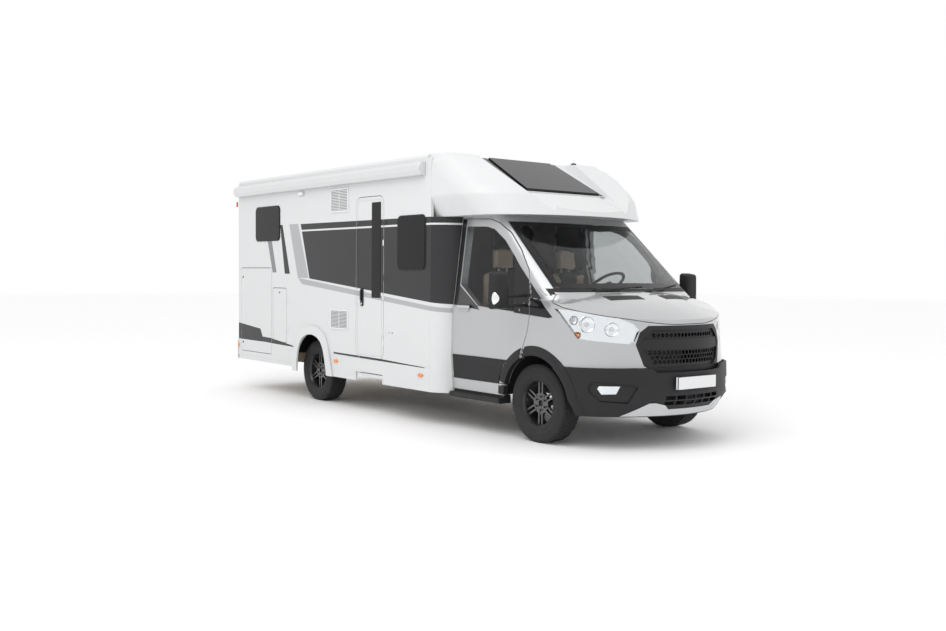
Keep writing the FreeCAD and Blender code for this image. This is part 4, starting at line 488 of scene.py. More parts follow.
def faceAgainst(bm, ahead):
    bmesh.ops.recalc_face_normals(bm, faces=bm.faces)
    if sum(face.normal.dot(ahead) * face.calc_area() for face in bm.faces) > 0:
        bmesh.ops.reverse_faces(bm, faces=bm.faces)


def sheetPiece(name, bm, missed, ahead, thick, material, body, sharp):
    # a sheet without the corners that missed the skin, turned outwards and given its thickness
    bmesh.ops.delete(bm, geom=missed, context="VERTS")
    if not bm.faces:
        bm.free()
        return None
    faceAgainst(bm, ahead)
    bmesh.ops.solidify(bm, geom=bm.faces[:], thickness=thick)
    return fromBmesh(name, bm, material, body, sharp)


# the way that a patch is laid, and the axes in which its corners are given
patchViews = {"right": ((0, 1, 0), (0, 2)), "left": ((0, -1, 0), (0, 2)), "above": ((0, 0, -1), (0, 1)),
              "front": ((-1, 0, 0), (1, 2))}


def patch(name, corners, view, tree, lift, thick, material, body, step=0.04, border=0.0):
    # a sheet that follows the skin
    ahead, axes = Vector(patchViews[view][0]), patchViews[view][1]
    bm = bmesh.new()
    verts = [bm.verts.new() for corner in corners]
    for vert, corner in zip(verts, corners):
        vert.co[axes[0]], vert.co[axes[1]] = corner
    face = bm.faces.new(verts)
    if border:
        bm.normal_update()
        bmesh.ops.inset_region(bm, faces=[face], thickness=border, use_boundary=True, use_even_offset=True)
        bmesh.ops.delete(bm, geom=[face], context="FACES_ONLY")
    cutFine(bm, step)
    missed = laidOn(bm, tree, ahead, lift)
    return sheetPiece(name, bm, missed, ahead, thick, material, body, smoothing["sharp"])


def firstSkin(trees, x, z, sign, reach):
    # the body whose skin a ray from the side meets first, and how far out it is
    hits = [(tree.ray_cast(Vector((x, sign * 2, z)), Vector((0, -sign, 0)), reach), body)
            for body, tree in trees.items()]
    hits = [(hit[3], body, hit[0].y) for hit, body in hits if hit[0] is not None]
    return min(hits)[1:] if hits else (None, 0)


def islands(bm):
    # the faces of each connected part
    left, found = set(bm.faces), []
    while left:
        stack, island = [left.pop()], []
        while stack:
            face = stack.pop()
            island.append(face)
            for edge in face.edges:
                for other in edge.link_faces:
                    if other in left:
                        left.remove(other)
                        stack.append(other)
        found.append(island)
    return found


sides = (("Right", "right", -1), ("Left", "left", 1))

wheel = {"places": ("front_right", "front_left", "rear_right", "rear_left"), "radius": 0.3675, "half": 0.1165,
         "base": 0.3605, "steps": 120, "faceDepth": 0.045, "facing": 0.8}
tread = {"half": 0.098, "rows": 5, "blocks": 64, "clear": 0.0005, "crown": 0.0035, "gapRound": 0.006,
         "gapAcross": 0.007, "deep": 0.012}
wheelNut = {"count": 6, "ring": 0.062, "sunk": 0.028, "foot": 0.011, "tip": 0.009, "deep": 0.022}


def tyreProfile():
    # from the inner bead out over the tread and back, with ribs on the sidewall
    half, base = wheel["half"], wheel["base"]
    side = [(0.208, 0.094), (0.214, 0.102), (0.226, 0.109), (0.243, 0.1115), (0.246, 0.1135), (0.250, 0.1135),
            (0.253, 0.112), (0.275, half), (0.298, half), (0.300, half - 0.0018), (0.304, half - 0.0018),
            (0.306, half - 0.0005), (0.325, 0.1125), (0.342, 0.1065), (0.352, 0.101), (base - 0.0035, 0.092),
            (base, 0.080), (base + 0.0015, 0.05), (base + 0.002, 0)]
    return side + [(radius, -along) for radius, along in reversed(side[:-1])]


def makeTyre(place):
    body, box = "wheel_" + place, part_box("tyre_" + place)
    centre = (box[0] + box[1]) / 2
    name = camelName("tyre_" + place)
    piece = lathe(name, tyreProfile(), centre, "tyre", body, steps=wheel["steps"])
    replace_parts(piece, "tyre_" + place)
    bm = bmesh.new()
    wide = 2 * tread["half"] / tread["rows"]
    for row in range(tread["rows"]):
        along = -tread["half"] + wide * (row + 0.5)
        crown = wheel["radius"] - tread["clear"] - tread["crown"] * (along / tread["half"]) ** 4
        size = Matrix.Diagonal((math.tau * crown / tread["blocks"] - tread["gapRound"], wide - tread["gapAcross"],
                                tread["deep"], 1))
        for i in range(tread["blocks"]):
            turn = Matrix.Rotation(math.tau * (i + 0.5 * (row % 2)) / tread["blocks"], 4, "Y")
            bmesh.ops.create_cube(bm, size=1, matrix=Matrix.Translation(centre) @ turn @
                                  Matrix.Translation((0, along, crown - tread["deep"] / 2)) @ size)
    fromBmesh(name + "Tread", bm, "tyre", body, 20, welded=False)
    return centre


def dressWheel(place, centre):
    # dark castings with lighter faces towards the outside
    node = "wheel_" + place
    piece = dressed[node]
    piece.data.materials.append(finishes["wheelFace"])
    out = 1 if centre.y > 0 else -1
    reach = max(vert.co.y * out for vert in piece.data.vertices)
    for face in piece.data.polygons:
        if face.normal.y * out > wheel["facing"] and face.center.y * out > reach - wheel["faceDepth"]:
            face.material_index = 1
    bm = bmesh.new()
    turn = Matrix.Rotation(math.radians(90), 4, "X")
    for i in range(wheelNut["count"]):
        angle = math.tau * (i + 0.5) / wheelNut["count"]
        spot = Vector((centre.x + math.cos(angle) * wheelNut["ring"], out * (reach - wheelNut["sunk"]),
                       centre.z + math.sin(angle) * wheelNut["ring"]))
        bmesh.ops.create_cone(bm, cap_ends=True, segments=6, radius1=wheelNut["foot"], radius2=wheelNut["tip"],
                              depth=wheelNut["deep"], matrix=Matrix.Translation(spot) @ turn)
    fromBmesh(camelName(node, "Nuts"), bm, "wheelFace", node, 25, welded=False)


for place in wheel["places"]:
    dressWheel(place, makeTyre(place))
print("wheels")

# coach walls, in metres: the skin stands this far from the middle
coach = {"wall": 1.160}


def wallSpot(sign, x, z, out=0.0):
    return (x, sign * (coach["wall"] + out), z)


def wallPlate(name, sign, values, material, body, slot, border=0.0):
    # values are x, z, distance from the wall, wide, high, corner radius, thick and softened edge
    x, z, out, wide, high, radius, thick, soft = values
    return plate(name, "left" if sign > 0 else "right", wallSpot(sign, x, z, out), wide, high, radius, thick, material,
                 body, slot, border, soft)


def disc(name, sign, x, z, radius, thick, material, body):
    profile = [(0.0001, thick), (radius * 0.86, thick), (radius, thick * 0.6), (radius, 0), (0.0001, 0)]
    return lathe(name, profile, wallSpot(sign, x, z), material, body, axis=(0, sign, 0))


windowSeal = {"kitchenWindow": (0.402, 0.906, 1.609, 2.174), "rearWindow": (-2.937, -2.271, 1.978, 2.413),
              "past": 0.016, "radius": 0.062, "thick": 0.006, "border": 0.012, "soft": 0.0015}
for label, side, sign in sides:
    for title in ("kitchenWindow", "rearWindow"):
        x0, x1, z0, z1 = windowSeal[title]
        values = ((x0 + x1) / 2, (z0 + z1) / 2, 0.0, x1 - x0 + windowSeal["past"], z1 - z0 + windowSeal["past"],
                  windowSeal["radius"], windowSeal["thick"], windowSeal["soft"])
        wallPlate(title + "Seal" + label, sign, values, "rubber", "coach", "black_plastic", windowSeal["border"])

vent = {"upperVent": (-1.005, -0.605, 2.271, 2.545, 13), "lowerVent": (-1.005, -0.605, 0.910, 1.14, 12),
        "radius": 0.014, "border": 0.018, "backInset": 0.034, "backRadius": 0.004, "backThick": 0.0008,
        "slatInset": 0.036, "slatMargin": 0.020, "slatThick": 0.0018, "slatShare": 0.70, "lean": 28, "rib": 0.008}


def makeVent(name):
    # a thin frame with fine slats leaning down and outwards, in the depth of the CAD plate
    x0, x1, z0, z1, slats = vent[name]
    reach = -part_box("service_vents")[0].y - coach["wall"]
    x, z, wide, high = (x0 + x1) / 2, (z0 + z1) / 2, x1 - x0, z1 - z0
    ring = wallPlate(name + "Frame", -1, (x, z, 0.0, wide, high, vent["radius"], reach, 0.0015), "whitePlastic",
                     "coach", "white_plastic", vent["border"])
    wallPlate(name + "Back", -1, (x, z, 0.0, wide - vent["backInset"], high - vent["backInset"], vent["backRadius"],
                                  vent["backThick"], 0), "glossBlack", "coach", "white_plastic")
    step = (high - 2 * vent["slatMargin"]) / slats
    size = (wide - vent["slatInset"], vent["slatThick"], step * vent["slatShare"])
    spots = [((x, -(coach["wall"] + reach * 0.5), z0 + vent["slatMargin"] + step * (i + 0.5)), size)
             for i in range(slats)]
    boxes(name + "Slats", spots, "whitePlastic", "coach", soft=0,
          turn=Matrix.Rotation(math.radians(vent["lean"]), 4, "X"))
    rib = (vent["rib"], reach * 0.6, high - vent["slatInset"])
    boxes(name + "Rib", [((x, -(coach["wall"] + reach * 0.6), z), rib)], "whitePlastic", "coach")
    return ring


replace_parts(makeVent("upperVent"), "service_vents")
makeVent("lowerVent")

# plates are x, z, distance from the wall, wide, high, corner radius, thick and softened edge
entryDoor = {"handlePlate": (-0.308, 1.297, 0.0, 0.058, 0.205, 0.026, 0.012, 0.003),
             "handleGrip": (-0.312, 1.319, 0.012, 0.030, 0.120, 0.014, 0.014, 0.005),
             "lock": (-0.308, 1.222, 0.012, 0.024, 0.024, 0.0119, 0.004, 0.001),
             "panel": (-0.159, 1.515, 0.0, 0.50, 1.735, 0.05, 0.0035, 0.0015), "panelBorder": 0.006,
             "hingePlace": (0.122, -1.1635), "hingeLevels": (0.80, 1.30, 1.90), "hingeSize": (0.020, 0.006, 0.065)}
wallPlate("entryHandlePlate", -1, entryDoor["handlePlate"], "blackPlastic", "entry_door", "black_plastic")
wallPlate("entryHandleGrip", -1, entryDoor["handleGrip"], "glossBlack", "entry_door", "black_plastic")
wallPlate("entryLock", -1, entryDoor["lock"], "chrome", "entry_door", "black_plastic")
wallPlate("entryDoorPanel", -1, entryDoor["panel"], "coachPaint", "entry_door", "coach_skin", entryDoor["panelBorder"])
for i, z in enumerate(entryDoor["hingeLevels"]):
    boxes("entryHinge%d" % i, [((*entryDoor["hingePlace"], z), entryDoor["hingeSize"])], "whitePlastic", "entry_door",
          soft=0.002)

garageDoor = {"hingePlace": (-2.512, 1.1625), "hingeLevels": (1.53, 0.80), "hingeSize": (0.024, 0.005, 0.075),
              "lockX": -3.33, "lockLevels": (1.50, 0.62), "lockSize": (0.014, 0.004)}
for label, side, sign in sides:
    x, y = garageDoor["hingePlace"]
    for i, z in enumerate(garageDoor["hingeLevels"]):
        boxes("garageHinge%s%d" % (label, i), [((x, sign * y, z), garageDoor["hingeSize"])], "whitePlastic",
              "garage_door_" + side, soft=0.002)
    for i, z in enumerate(garageDoor["lockLevels"]):
        disc("garageLock%s%d" % (label, i), sign, garageDoor["lockX"], z, *garageDoor["lockSize"], "blackPlastic",
             "garage_door_" + side)

wallKnobs = {"flapLock": (-2.28, 1.31, 0.012, 0.004, "blackPlastic", "service_flap"),
             "kitchenSocket": (0.30, 0.92, 0.012, 0.003, "greyPlastic", "coach"),
             "stepSwitch": (0.235, 0.92, 0.009, 0.003, "greyPlastic", "coach")}
for name, values in wallKnobs.items():
    disc(name, -1, *values)

# the plates' values are in the same order as the entry door's
wallLamps = {"sidePlaces": ((-0.881, 0.533), (0.832, 0.506)), "side": (0.0, 0.085, 0.034, 0.016, 0.012, 0.003),
             "rear": (-3.500, 2.488, 0.0, 0.034, 0.070, 0.012, 0.012, 0.003),
             "reflector": (-3.46, 0.573, 0.0, 0.055, 0.055, 0.012, 0.006, 0.002),
             "porchBase": (-1.714, 2.535, 0.0, 0.150, 0.056, 0.0278, 0.012, 0.003),
             "porchLens": (-1.714, 2.535, 0.012, 0.120, 0.036, 0.0178, 0.008, 0.003)}
for label, side, sign in sides:
    for i, place in enumerate(wallLamps["sidePlaces"]):
        wallPlate("sideMarker%s%d" % (label, i), sign, place + wallLamps["side"], "orangeLens", "coach", "lamp_glass")
    wallPlate("rearMarker" + label, sign, wallLamps["rear"], "redLens", "coach", "lamp_glass")
    wallPlate("rearSideReflector" + label, sign, wallLamps["reflector"], "orangeLens", "coach", "lamp_glass")
wallPlate("porchLampBase", -1, wallLamps["porchBase"], "satinSilver", "coach", "white_plastic")
wallPlate("porchLampLens", -1, wallLamps["porchLens"], "clearLens", "coach", "lamp_glass")
print("coach walls")

arch = {"x": 2.45, "z": 0.3675, "inner": 0.450, "outer": 0.540, "edge": 0.478, "turned": 0.055, "lift": 0.010,
        "steps": 72, "rings": 5, "from": -12, "to": 192, "reach": 1.3, "thick": 0.004}


def makeArch(label, side, sign):
    # the black flare round the front wheel: a ring on the skin with its inner edge turned in, split at the door's edge
    trees = {"coach": skinTree("cab_body", "front_bumper"), "cab_door_" + side: skinTree("cab_door_" + side)}
    wide = arch["outer"] - arch["inner"]
    for body in trees:
        bm = bmesh.new()
        radii = [arch["inner"] - 0.001] + [arch["inner"] + wide * i / arch["rings"] for i in range(arch["rings"] + 1)]
        start = Matrix.Rotation(math.radians(-arch["from"]), 3, "Y")
        verts = [bm.verts.new(start @ Vector((radius, 0, 0))) for radius in radii]
        edges = [bm.edges.new(pair) for pair in zip(verts, verts[1:])]
        bmesh.ops.spin(bm, geom=verts + edges, cent=(0, 0, 0), axis=(0, 1, 0),
                       angle=-math.radians(arch["to"] - arch["from"]), steps=arch["steps"])
        missed = []
        for vert in bm.verts:
            radius = vert.co.length
            spot = vert.co * (max(radius, arch["edge"]) / radius)
            vert.co += Vector((arch["x"], 0, arch["z"]))
            owner, across = firstSkin(trees, spot.x + arch["x"], spot.z + arch["z"], sign, arch["reach"])
            if owner != body:
                missed.append(vert)
                continue
            rise = min(1.0, 3 * (arch["outer"] - radius) / wide)
            turned = arch["turned"] if radius < arch["inner"] else 0
            vert.co.y = across + sign * (arch["lift"] * (0.35 + rise) - turned)
        sheetPiece("archFlare%s%s" % (label, "Cab" if body == "coach" else "Door"), bm, missed, Vector((0, -sign, 0)),
                   arch["thick"], "blackPlastic", body, 50)


# the handle's sizes are wide, high, corner radius and thick
cabDoor = {"cladding": [(1.222, 0.516), (1.222, 0.752), (1.60, 0.752), (2.06, 0.748), (2.010, 0.700), (1.955, 0.600),
                        (1.930, 0.516)], "claddingLift": 0.010, "claddingThick": 0.012,
           "recess": (1.400, 1.026, 1.226), "recessSize": (0.150, 0.075, 0.034, 0.004),
           "grip": (1.400, 1.036, 1.240), "gripSize": (0.200, 0.026, 0.0125, 0.018), "gripSoft": 0.005}
for label, side, sign in sides:
    body = "cab_door_" + side
    makeArch(label, side, sign)
    patch("doorCladding" + label, cabDoor["cladding"], side, skinTree(body), cabDoor["claddingLift"],
          cabDoor["claddingThick"], "blackPlastic", body)
    x, y, z = cabDoor["recess"]
    plate("doorHandleRecess" + label, side, (x, sign * y, z), *cabDoor["recessSize"], "cabDoorPaint", body, "cab_paint")
    x, y, z = cabDoor["grip"]
    plate("doorHandleGrip" + label, side, (x, sign * y, z), *cabDoor["gripSize"], "satinSilver", body, "cab_paint",
          soft=cabDoor["gripSoft"])
print("cab skin")

# the black triangle ahead of the door windows
windowTriangle = {"corners": [(2.06, 1.735), (2.352, 1.480), (2.690, 1.180), (2.640, 1.172), (2.16, 1.206)],
                  "step": 0.012, "reach": 1.4, "lift": 0.003, "thick": 0.003}


def makeTriangle(label, side, sign):
    # a sheet on the cab's side that is shared out between the door and the body behind it
    trees = {"coach": skinTree("cab_body"), "cab_door_" + side: skinTree("cab_door_" + side, "door_glass_" + side)}
    for body in trees:
        bm = bmesh.new()
        bm.faces.new([bm.verts.new((x, 0, z)) for x, z in windowTriangle["corners"]])
        cutFine(bm, windowTriangle["step"])
        missed = []
        for vert in bm.verts:
            owner, across = firstSkin(trees, vert.co.x, vert.co.z, sign, windowTriangle["reach"])
            if owner != body:
                missed.append(vert)
            else:
                vert.co.y = across + sign * windowTriangle["lift"]
        sheetPiece("windowTriangle" + label + ("Cab" if body == "coach" else "Door"), bm, missed,
                   Vector((0, -sign, 0)), windowTriangle["thick"], "glossBlack", body, 50)


for label, side, sign in sides:
    makeTriangle(label, side, sign)

# headlamps and fog lamps; the round reflectors are x, y, z and radius
lamp = {"bowls": ((3.010, 0.900, 1.125, 0.074), (3.185, 0.755, 1.085, 0.066), (2.900, 0.960, 1.160, 0.040)),
        "turn": (2.930, 0.940, 1.030, 0.030), "bowlSunk": 0.012, "turnSunk": 0.014, "deep": 0.034, "fogDeep": 0.016,
        "lipGap": 0.004, "bowlThick": 0.0015, "coverThick": 0.0025, "fogTop": 0.7, "fogRadius": 0.026,
        "fogSunk": 0.004, "facing": 0.35}


def makeLampSkin(island, out, label, fog, kind):
    # the outer faces of one lamp as a clear cover, or set back with a rim as its bright bowl
    bm = bmesh.new()
    seen = {}
    for face in island:
        if face.normal.dot(out) > lamp["facing"]:
            for vert in face.verts:
                if vert not in seen:
                    seen[vert] = bm.verts.new(vert.co)
            bm.faces.new([seen[vert] for vert in face.verts])
    faceAgainst(bm, -out)
    if kind == "bowl":
        deep = lamp["fogDeep"] if fog else lamp["deep"]
        bmesh.ops.translate(bm, vec=-out * deep, verts=bm.verts)
        made = bmesh.ops.extrude_edge_only(bm, edges=[edge for edge in bm.edges if edge.is_boundary])
        lip = [item for item in made["geom"] if isinstance(item, bmesh.types.BMVert)]
        bmesh.ops.translate(bm, vec=out * (deep - lamp["lipGap"]), verts=lip)
        bmesh.ops.solidify(bm, geom=bm.faces[:], thickness=lamp["bowlThick"])
        return fromBmesh(("fogBowl" if fog else "lampBowl") + label, bm, "lampBowl", "coach")
    bmesh.ops.solidify(bm, geom=bm.faces[:], thickness=lamp["coverThick"])
    return fromBmesh(("fogCover" if fog else "lampCover") + label, bm, "lampGlass", "coach")


def dish(name, centre, radius, out, middle="clearLens"):
    # a round reflector with a lamp in its middle
    profile = [(radius, 0.0), (radius * 0.96, 0.002), (radius * 0.90, -0.003), (radius * 0.62, -0.013),
               (radius * 0.30, -0.019), (0.0001, -0.021)]
    lathe(name, profile, centre, "chrome", "coach", axis=tuple(out), steps=40, sharp=50)
    bulb = [(radius * 0.26, -0.020), (radius * 0.25, -0.010), (radius * 0.16, -0.004), (0.0001, -0.002)]
    lathe(name + "Bulb", bulb, centre, middle, "coach", axis=tuple(out), steps=24, sharp=50)


def makeHeadlamps():
    source = mergedMesh("headlamps")
    for island in islands(source):
        points = [vert.co for face in island for vert in face.verts]
        low, high = (Vector([pick(p[i] for p in points) for i in range(3)]) for pick in (min, max))
        sign, label = (1, "Left") if low.y > 0 else (-1, "Right")
        fog = high.z < lamp["fogTop"]
        out = Vector((0.75, sign * 0.66, 0.05)).normalized()
        cover = makeLampSkin(island, out, label, fog, "cover")
        if not fog and sign < 0:
            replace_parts(cover, "headlamps")
        makeLampSkin(island, out, label, fog, "bowl")
        if fog:
            dish("fogDish" + label, (low + high) / 2 - out * lamp["fogSunk"], lamp["fogRadius"], out)
    source.free()
    face = skinTree("headlamps")
    for label, side, sign in sides:
        out = Vector((0.80, sign * 0.60, 0.0)).normalized()
        rows = [("lampDish%s%d" % (label, i), row, lamp["bowlSunk"], "clearLens")
                for i, row in enumerate(lamp["bowls"])]
        rows.append(("turnDish" + label, lamp["turn"], lamp["turnSunk"], "orangeLens"))
        for name, (x, y, z, radius), sunk, middle in rows:
            spot = Vector((x, sign * y, z))
            place = face.ray_cast(spot + out, -out)[0] or spot  # on the lamp's face, where it meets it
            dish(name, place - out * sunk, radius, out, middle)


makeHeadlamps()

# the bumper's lip is silver, and a dark panel closes the intake behind its bars
intake = {"panel": ((3.36, 0, 0.455), (0.012, 0.86, 0.150)), "block": ((3.435, 0, 0.452), (0.05, 0.20, 0.085)),
          "blockSoft": 0.006, "plate": (3.5255, 0, 0.605), "plateSize": (0.532, 0.122, 0.006, 0.004),
          "plateBorder": 0.007}
bumper = dressed["front_bumper"]
bumper.data.materials.append(finishes["satinSilver"])
source = bmesh.new()
source.from_mesh(bumper.data)
lip = min(islands(source), key=lambda island: max(vert.co.z for face in island for vert in face.verts))
for index in [face.index for face in lip]:
    bumper.data.polygons[index].material_index = 1
source.free()
boxes("intakePanel", [intake["panel"]], "blackPlastic", "coach")
boxes("intakeBlock", [intake["block"]], "blackPlastic", "coach", soft=intake["blockSoft"])
plate("plateFrame", "front", intake["plate"], *intake["plateSize"], "blackPlastic", "coach", "black_plastic",
      border=intake["plateBorder"])

# windscreen edge and the inlets in the bonnet
screen = {"level": 1.76, "lines": 120, "start": 0.10, "step": 0.004, "margin": 0.008, "border": 0.045,
          "cowl": [(-0.97, 1.440), (0.97, 1.440), (0.97, 1.375), (0, 1.335), (-0.97, 1.375)]}
bonnetInlet = [(2.835, 0.530), (2.915, 0.140), (3.020, 0.150), (2.940, 0.520)]


def onGlass(tree, y, z):
    return tree.ray_cast(Vector((6, y, z)), Vector((-1, 0, 0)))[0] is not None


def screenOutline(tree):
    # the glass's edge as seen from the front: a ray steps outwards on each line until it passes the glass
    corners = []
    for i in range(screen["lines"]):
        along, up = math.cos(math.tau * i / screen["lines"]), math.sin(math.tau * i / screen["lines"])
        reach = screen["start"]
        while onGlass(tree, along * reach, screen["level"] + up * reach):
            reach += screen["step"]
        reach -= screen["margin"]
        corners.append((along * reach, screen["level"] + up * reach))
    return corners


screenTree = skinTree("windscreen")
patch("screenBand", screenOutline(screenTree), "front", screenTree, 0.002, 0.0015, "glossBlack", "coach",
      border=screen["border"])
bonnetTree = skinTree("bonnet")
for label, side, sign in sides:
    patch("bonnetInlet" + label, [(x, sign * y) for x, y in bonnetInlet], "above", bonnetTree, 0.0025, 0.003,
          "blackPlastic", "bonnet", step=0.02)

# wipers run from their foot to their tip, in Y and Z, and lie on the glass and the cab's skin
wiper = {"lines": {"Right": ((-0.55, 1.425), (0.10, 1.455)), "Left": ((0.10, 1.410), (0.74, 1.470))},
         "marks": (0, 0.25, 0.5, 0.75, 1), "lowest": 1.40, "bladeLift": 0.006, "bladeRadius": 0.006,
         "footLift": 0.014, "armLift": 0.018, "armBelow": 0.012, "armRadius": 0.0075, "foot": (0.02, -0.035)}
wiperTree = skinTree("windscreen", "cab_body", "bonnet")


def onScreen(y, z, lift):
    place = wiperTree.ray_cast(Vector((4, y, max(z, wiper["lowest"]))), Vector((-1, 0, 0)))[0]
    return place + Vector((lift, 0, lift * 0.6))


for label, (foot, tip) in wiper["lines"].items():
    marks = [(foot[0] + (tip[0] - foot[0]) * t, foot[1] + (tip[1] - foot[1]) * t) for t in wiper["marks"]]
    blade = [onScreen(y, z, wiper["bladeLift"]) for y, z in marks]
    tube("wiperBlade" + label, blade, wiper["bladeRadius"], "rubber", "coach")
    arm = [onScreen(foot[0] + wiper["foot"][0], foot[1] + wiper["foot"][1], wiper["footLift"])]
    arm += [onScreen(y, z - wiper["armBelow"], wiper["armLift"]) for y, z in marks[:3]]
    tube("wiperArm" + label, arm, wiper["armRadius"], "blackPlastic", "coach")
print("cab face")

# the dark strip at the windscreen's foot
patch("cowl", screen["cowl"], "front", skinTree("cab_body"), 0.002, 0.002, "blackPlastic", "coach",
      step=0.025)

# mirrors: the head's limits from back to front, inwards to outwards and upwards, and how much its front draws in
mirror = {"x": (2.232, 2.368), "y": (1.232, 1.424), "z": (1.242, 1.598), "round": 0.034, "frontFrom": 0.05,
          "narrow": 0.22, "shallow": 0.10, "topFrom": 0.1, "topNarrow": 0.10,
          "arms": (1.273, 1.363), "armStep": 0.01, "armRadius": 0.0145,
          "armLine": ((2.320, 1.000, 0.010), (2.312, 1.090, 0.006), (2.305, 1.190, 0.0), (2.300, 1.260, 0.0)),
          "foot": (2.320, 0.985, 1.320), "footSize": (0.075, 0.150, 0.030, 0.028), "footSoft": 0.008,
          "glass": {"mirrorGlass": (1.480, 0.118, 0.180, 0.026), "mirrorLowGlass": (1.320, 0.112, 0.075, 0.022)},
          "glassY": 1.330, "glassSunk": 0.0005, "glassThick": 0.0010,
          "lamp": (2.320, 1.376, 1.345), "lampSize": (0.046, 0.045, 0.080)}


def makeMirror(label, side, sign):
    (x0, x1), (y0, y1), (z0, z1) = mirror["x"], mirror["y"], mirror["z"]
    centre = Vector(((x0 + x1) / 2, sign * (y0 + y1) / 2, (z0 + z1) / 2))
    body = "cab_door_" + side
    bm = bmesh.new()
    bmesh.ops.create_cube(bm, size=1, matrix=Matrix.Translation(centre) @
                          Matrix.Diagonal((x1 - x0, y1 - y0, z1 - z0, 1)))
    for vert in bm.verts:
        if vert.co.x > x0 + mirror["frontFrom"]:
            vert.co.y += (centre.y - vert.co.y) * mirror["narrow"]
            vert.co.z += (centre.z - vert.co.z) * mirror["shallow"]
        if vert.co.z > z0 + mirror["topFrom"]:
            vert.co.y += (centre.y - vert.co.y) * mirror["topNarrow"]
    bmesh.ops.bevel(bm, geom=bm.edges[:], offset=mirror["round"], segments=6, profile=0.5, affect="EDGES")
    head = fromBmesh("mirrorHead" + label, bm, "blackPlastic", body, 40)
    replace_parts(head, "mirror_" + side)
    for i, level in enumerate(mirror["arms"]):
        line = [(x - mirror["armStep"] * i, sign * y, level + up) for x, y, up in mirror["armLine"]]
        tube("mirrorArm%s%d" % (label, i), line, mirror["armRadius"], "blackPlastic", body)
    x, y, z = mirror["foot"]
    plate("mirrorFoot" + label, side, (x, sign * y, z), *mirror["footSize"], "blackPlastic", body, "black_plastic",
          soft=mirror["footSoft"])
    for name, (level, wide, high, radius) in mirror["glass"].items():
        plate(name + label, "rear", (x0 + mirror["glassSunk"], sign * mirror["glassY"], level), wide, high, radius,
              mirror["glassThick"], "chrome", body, "dark_glass", soft=0)
    x, y, z = mirror["lamp"]
    bm = bmesh.new()
    bmesh.ops.create_uvsphere(bm, u_segments=24, v_segments=16, radius=1, matrix=Matrix.Translation((x, sign * y, z)) @
                              Matrix.Diagonal((*mirror["lampSize"], 1)))
    fromBmesh("mirrorLamp" + label, bm, "lampBowl", body, 60)


for label, side, sign in sides:
    makeMirror(label, side, sign)

# seats: pads are size, x, distance from the seat's middle, z and crown
seat = {"y": {"Right": -0.45, "Left": 0.45}, "baseSize": (0.40, 0.40, 0.25), "baseX": 1.52, "baseZ": 0.735,
        "baseSoft": 0.02, "seatCushion": ((0.46, 0.27, 0.125), 1.545, 0, 0.925, 0.018),
        "seatBack": ((0.105, 0.26, 0.62), 1.318, 0, 1.275, 0.010),
        "seatSide": ((0.46, 0.105, 0.135), 1.545, 0.183, 0.928, 0.010),
        "backSide": ((0.118, 0.105, 0.60), 1.313, 0.178, 1.275, 0.008),
        "headRest": ((0.085, 0.235, 0.195), 1.307, 0, 1.728, 0.008),
        "headPost": (1.307, 0.055, 1.565, 0.006, 0.10),
        "cuts": 9, "roundness": 0.16, "waist": 0.06, "fill": 0.7}


def cushion(name, kind, y, way, material):
    # a crowned pad whose sides pull in between its corners
    size, x, aside, z, crown = seat[kind]
    bm = bmesh.new()
    bmesh.ops.create_cube(bm, size=1)
    bmesh.ops.subdivide_edges(bm, edges=bm.edges[:], cuts=seat["cuts"], use_grid_fill=True)
    for vert in bm.verts:
        a, b, c = (2 * value for value in vert.co)
        edge = max(abs(a), abs(b), abs(c))
        ball = Vector((a, b, c)).normalized() * edge
        mixed = Vector((a, b, c)).lerp(ball, seat["roundness"])
        vert.co = Vector([mixed[i] * size[i] / 2 for i in range(3)])
        pull = 1 - seat["waist"] * (1 - c * c)
        if abs(a) > 0.99 or abs(b) > 0.99:
            vert.co.x *= pull
            vert.co.y *= pull
        if abs(c) > 0.99:
            vert.co.z += math.copysign(crown * (1 - a * a) * (1 - b * b), c)
    bmesh.ops.translate(bm, vec=(x, y + way * aside, z), verts=bm.verts)
    piece = fromBmesh(name, bm, material, "coach", 180)
    rounded = piece.modifiers.new("rounded", "SUBSURF")
    rounded.levels = rounded.render_levels = 1


def makeSeat(label, y):
    bm = bmesh.new()
    bmesh.ops.create_cube(bm, size=1, matrix=Matrix.Translation((seat["baseX"], y, seat["baseZ"])) @
                          Matrix.Diagonal((*seat["baseSize"], 1)))
    base = softened(fromBmesh("seatBase" + label, bm, "blackPlastic", "coach"), seat["baseSoft"], 3)
    cushion("seatCushion" + label, "seatCushion", y, 0, "seatCloth")
    cushion("seatBack" + label, "seatBack", y, 0, "seatCloth")
    for i, way in enumerate((-1, 1)):
        cushion("seatSide%s%d" % (label, i), "seatSide", y, way, "seatLeather")
        cushion("backSide%s%d" % (label, i), "backSide", y, way, "seatLeather")
    cushion("headRest" + label, "headRest", y, 0, "seatLeather")
    x, aside, z, radius, long = seat["headPost"]
    for i, way in enumerate((-1, 1)):
        lathe("headPost%s%d" % (label, i), [(0.0001, long), (radius, long), (radius, 0), (0.0001, 0)],
              (x, y + way * aside, z), "chrome", "coach", axis=(0, 0, 1), steps=16)
    return base


seatBases = [makeSeat(label, y) for label, y in seat["y"].items()]
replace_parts(seatBases[0], "cab_seats")
print("mirrors and seats")

aerial = {"place": (1.07, 0.78, 2.785),
          "profile": [(0.0001, 0.046), (0.014, 0.045), (0.028, 0.038), (0.038, 0.022), (0.044, 0.0), (0.0001, 0.0)]}
lathe("aerialDome", aerial["profile"], aerial["place"], "blackPlastic", "coach", axis=(0, 0, 1),
      steps=36, sharp=60)

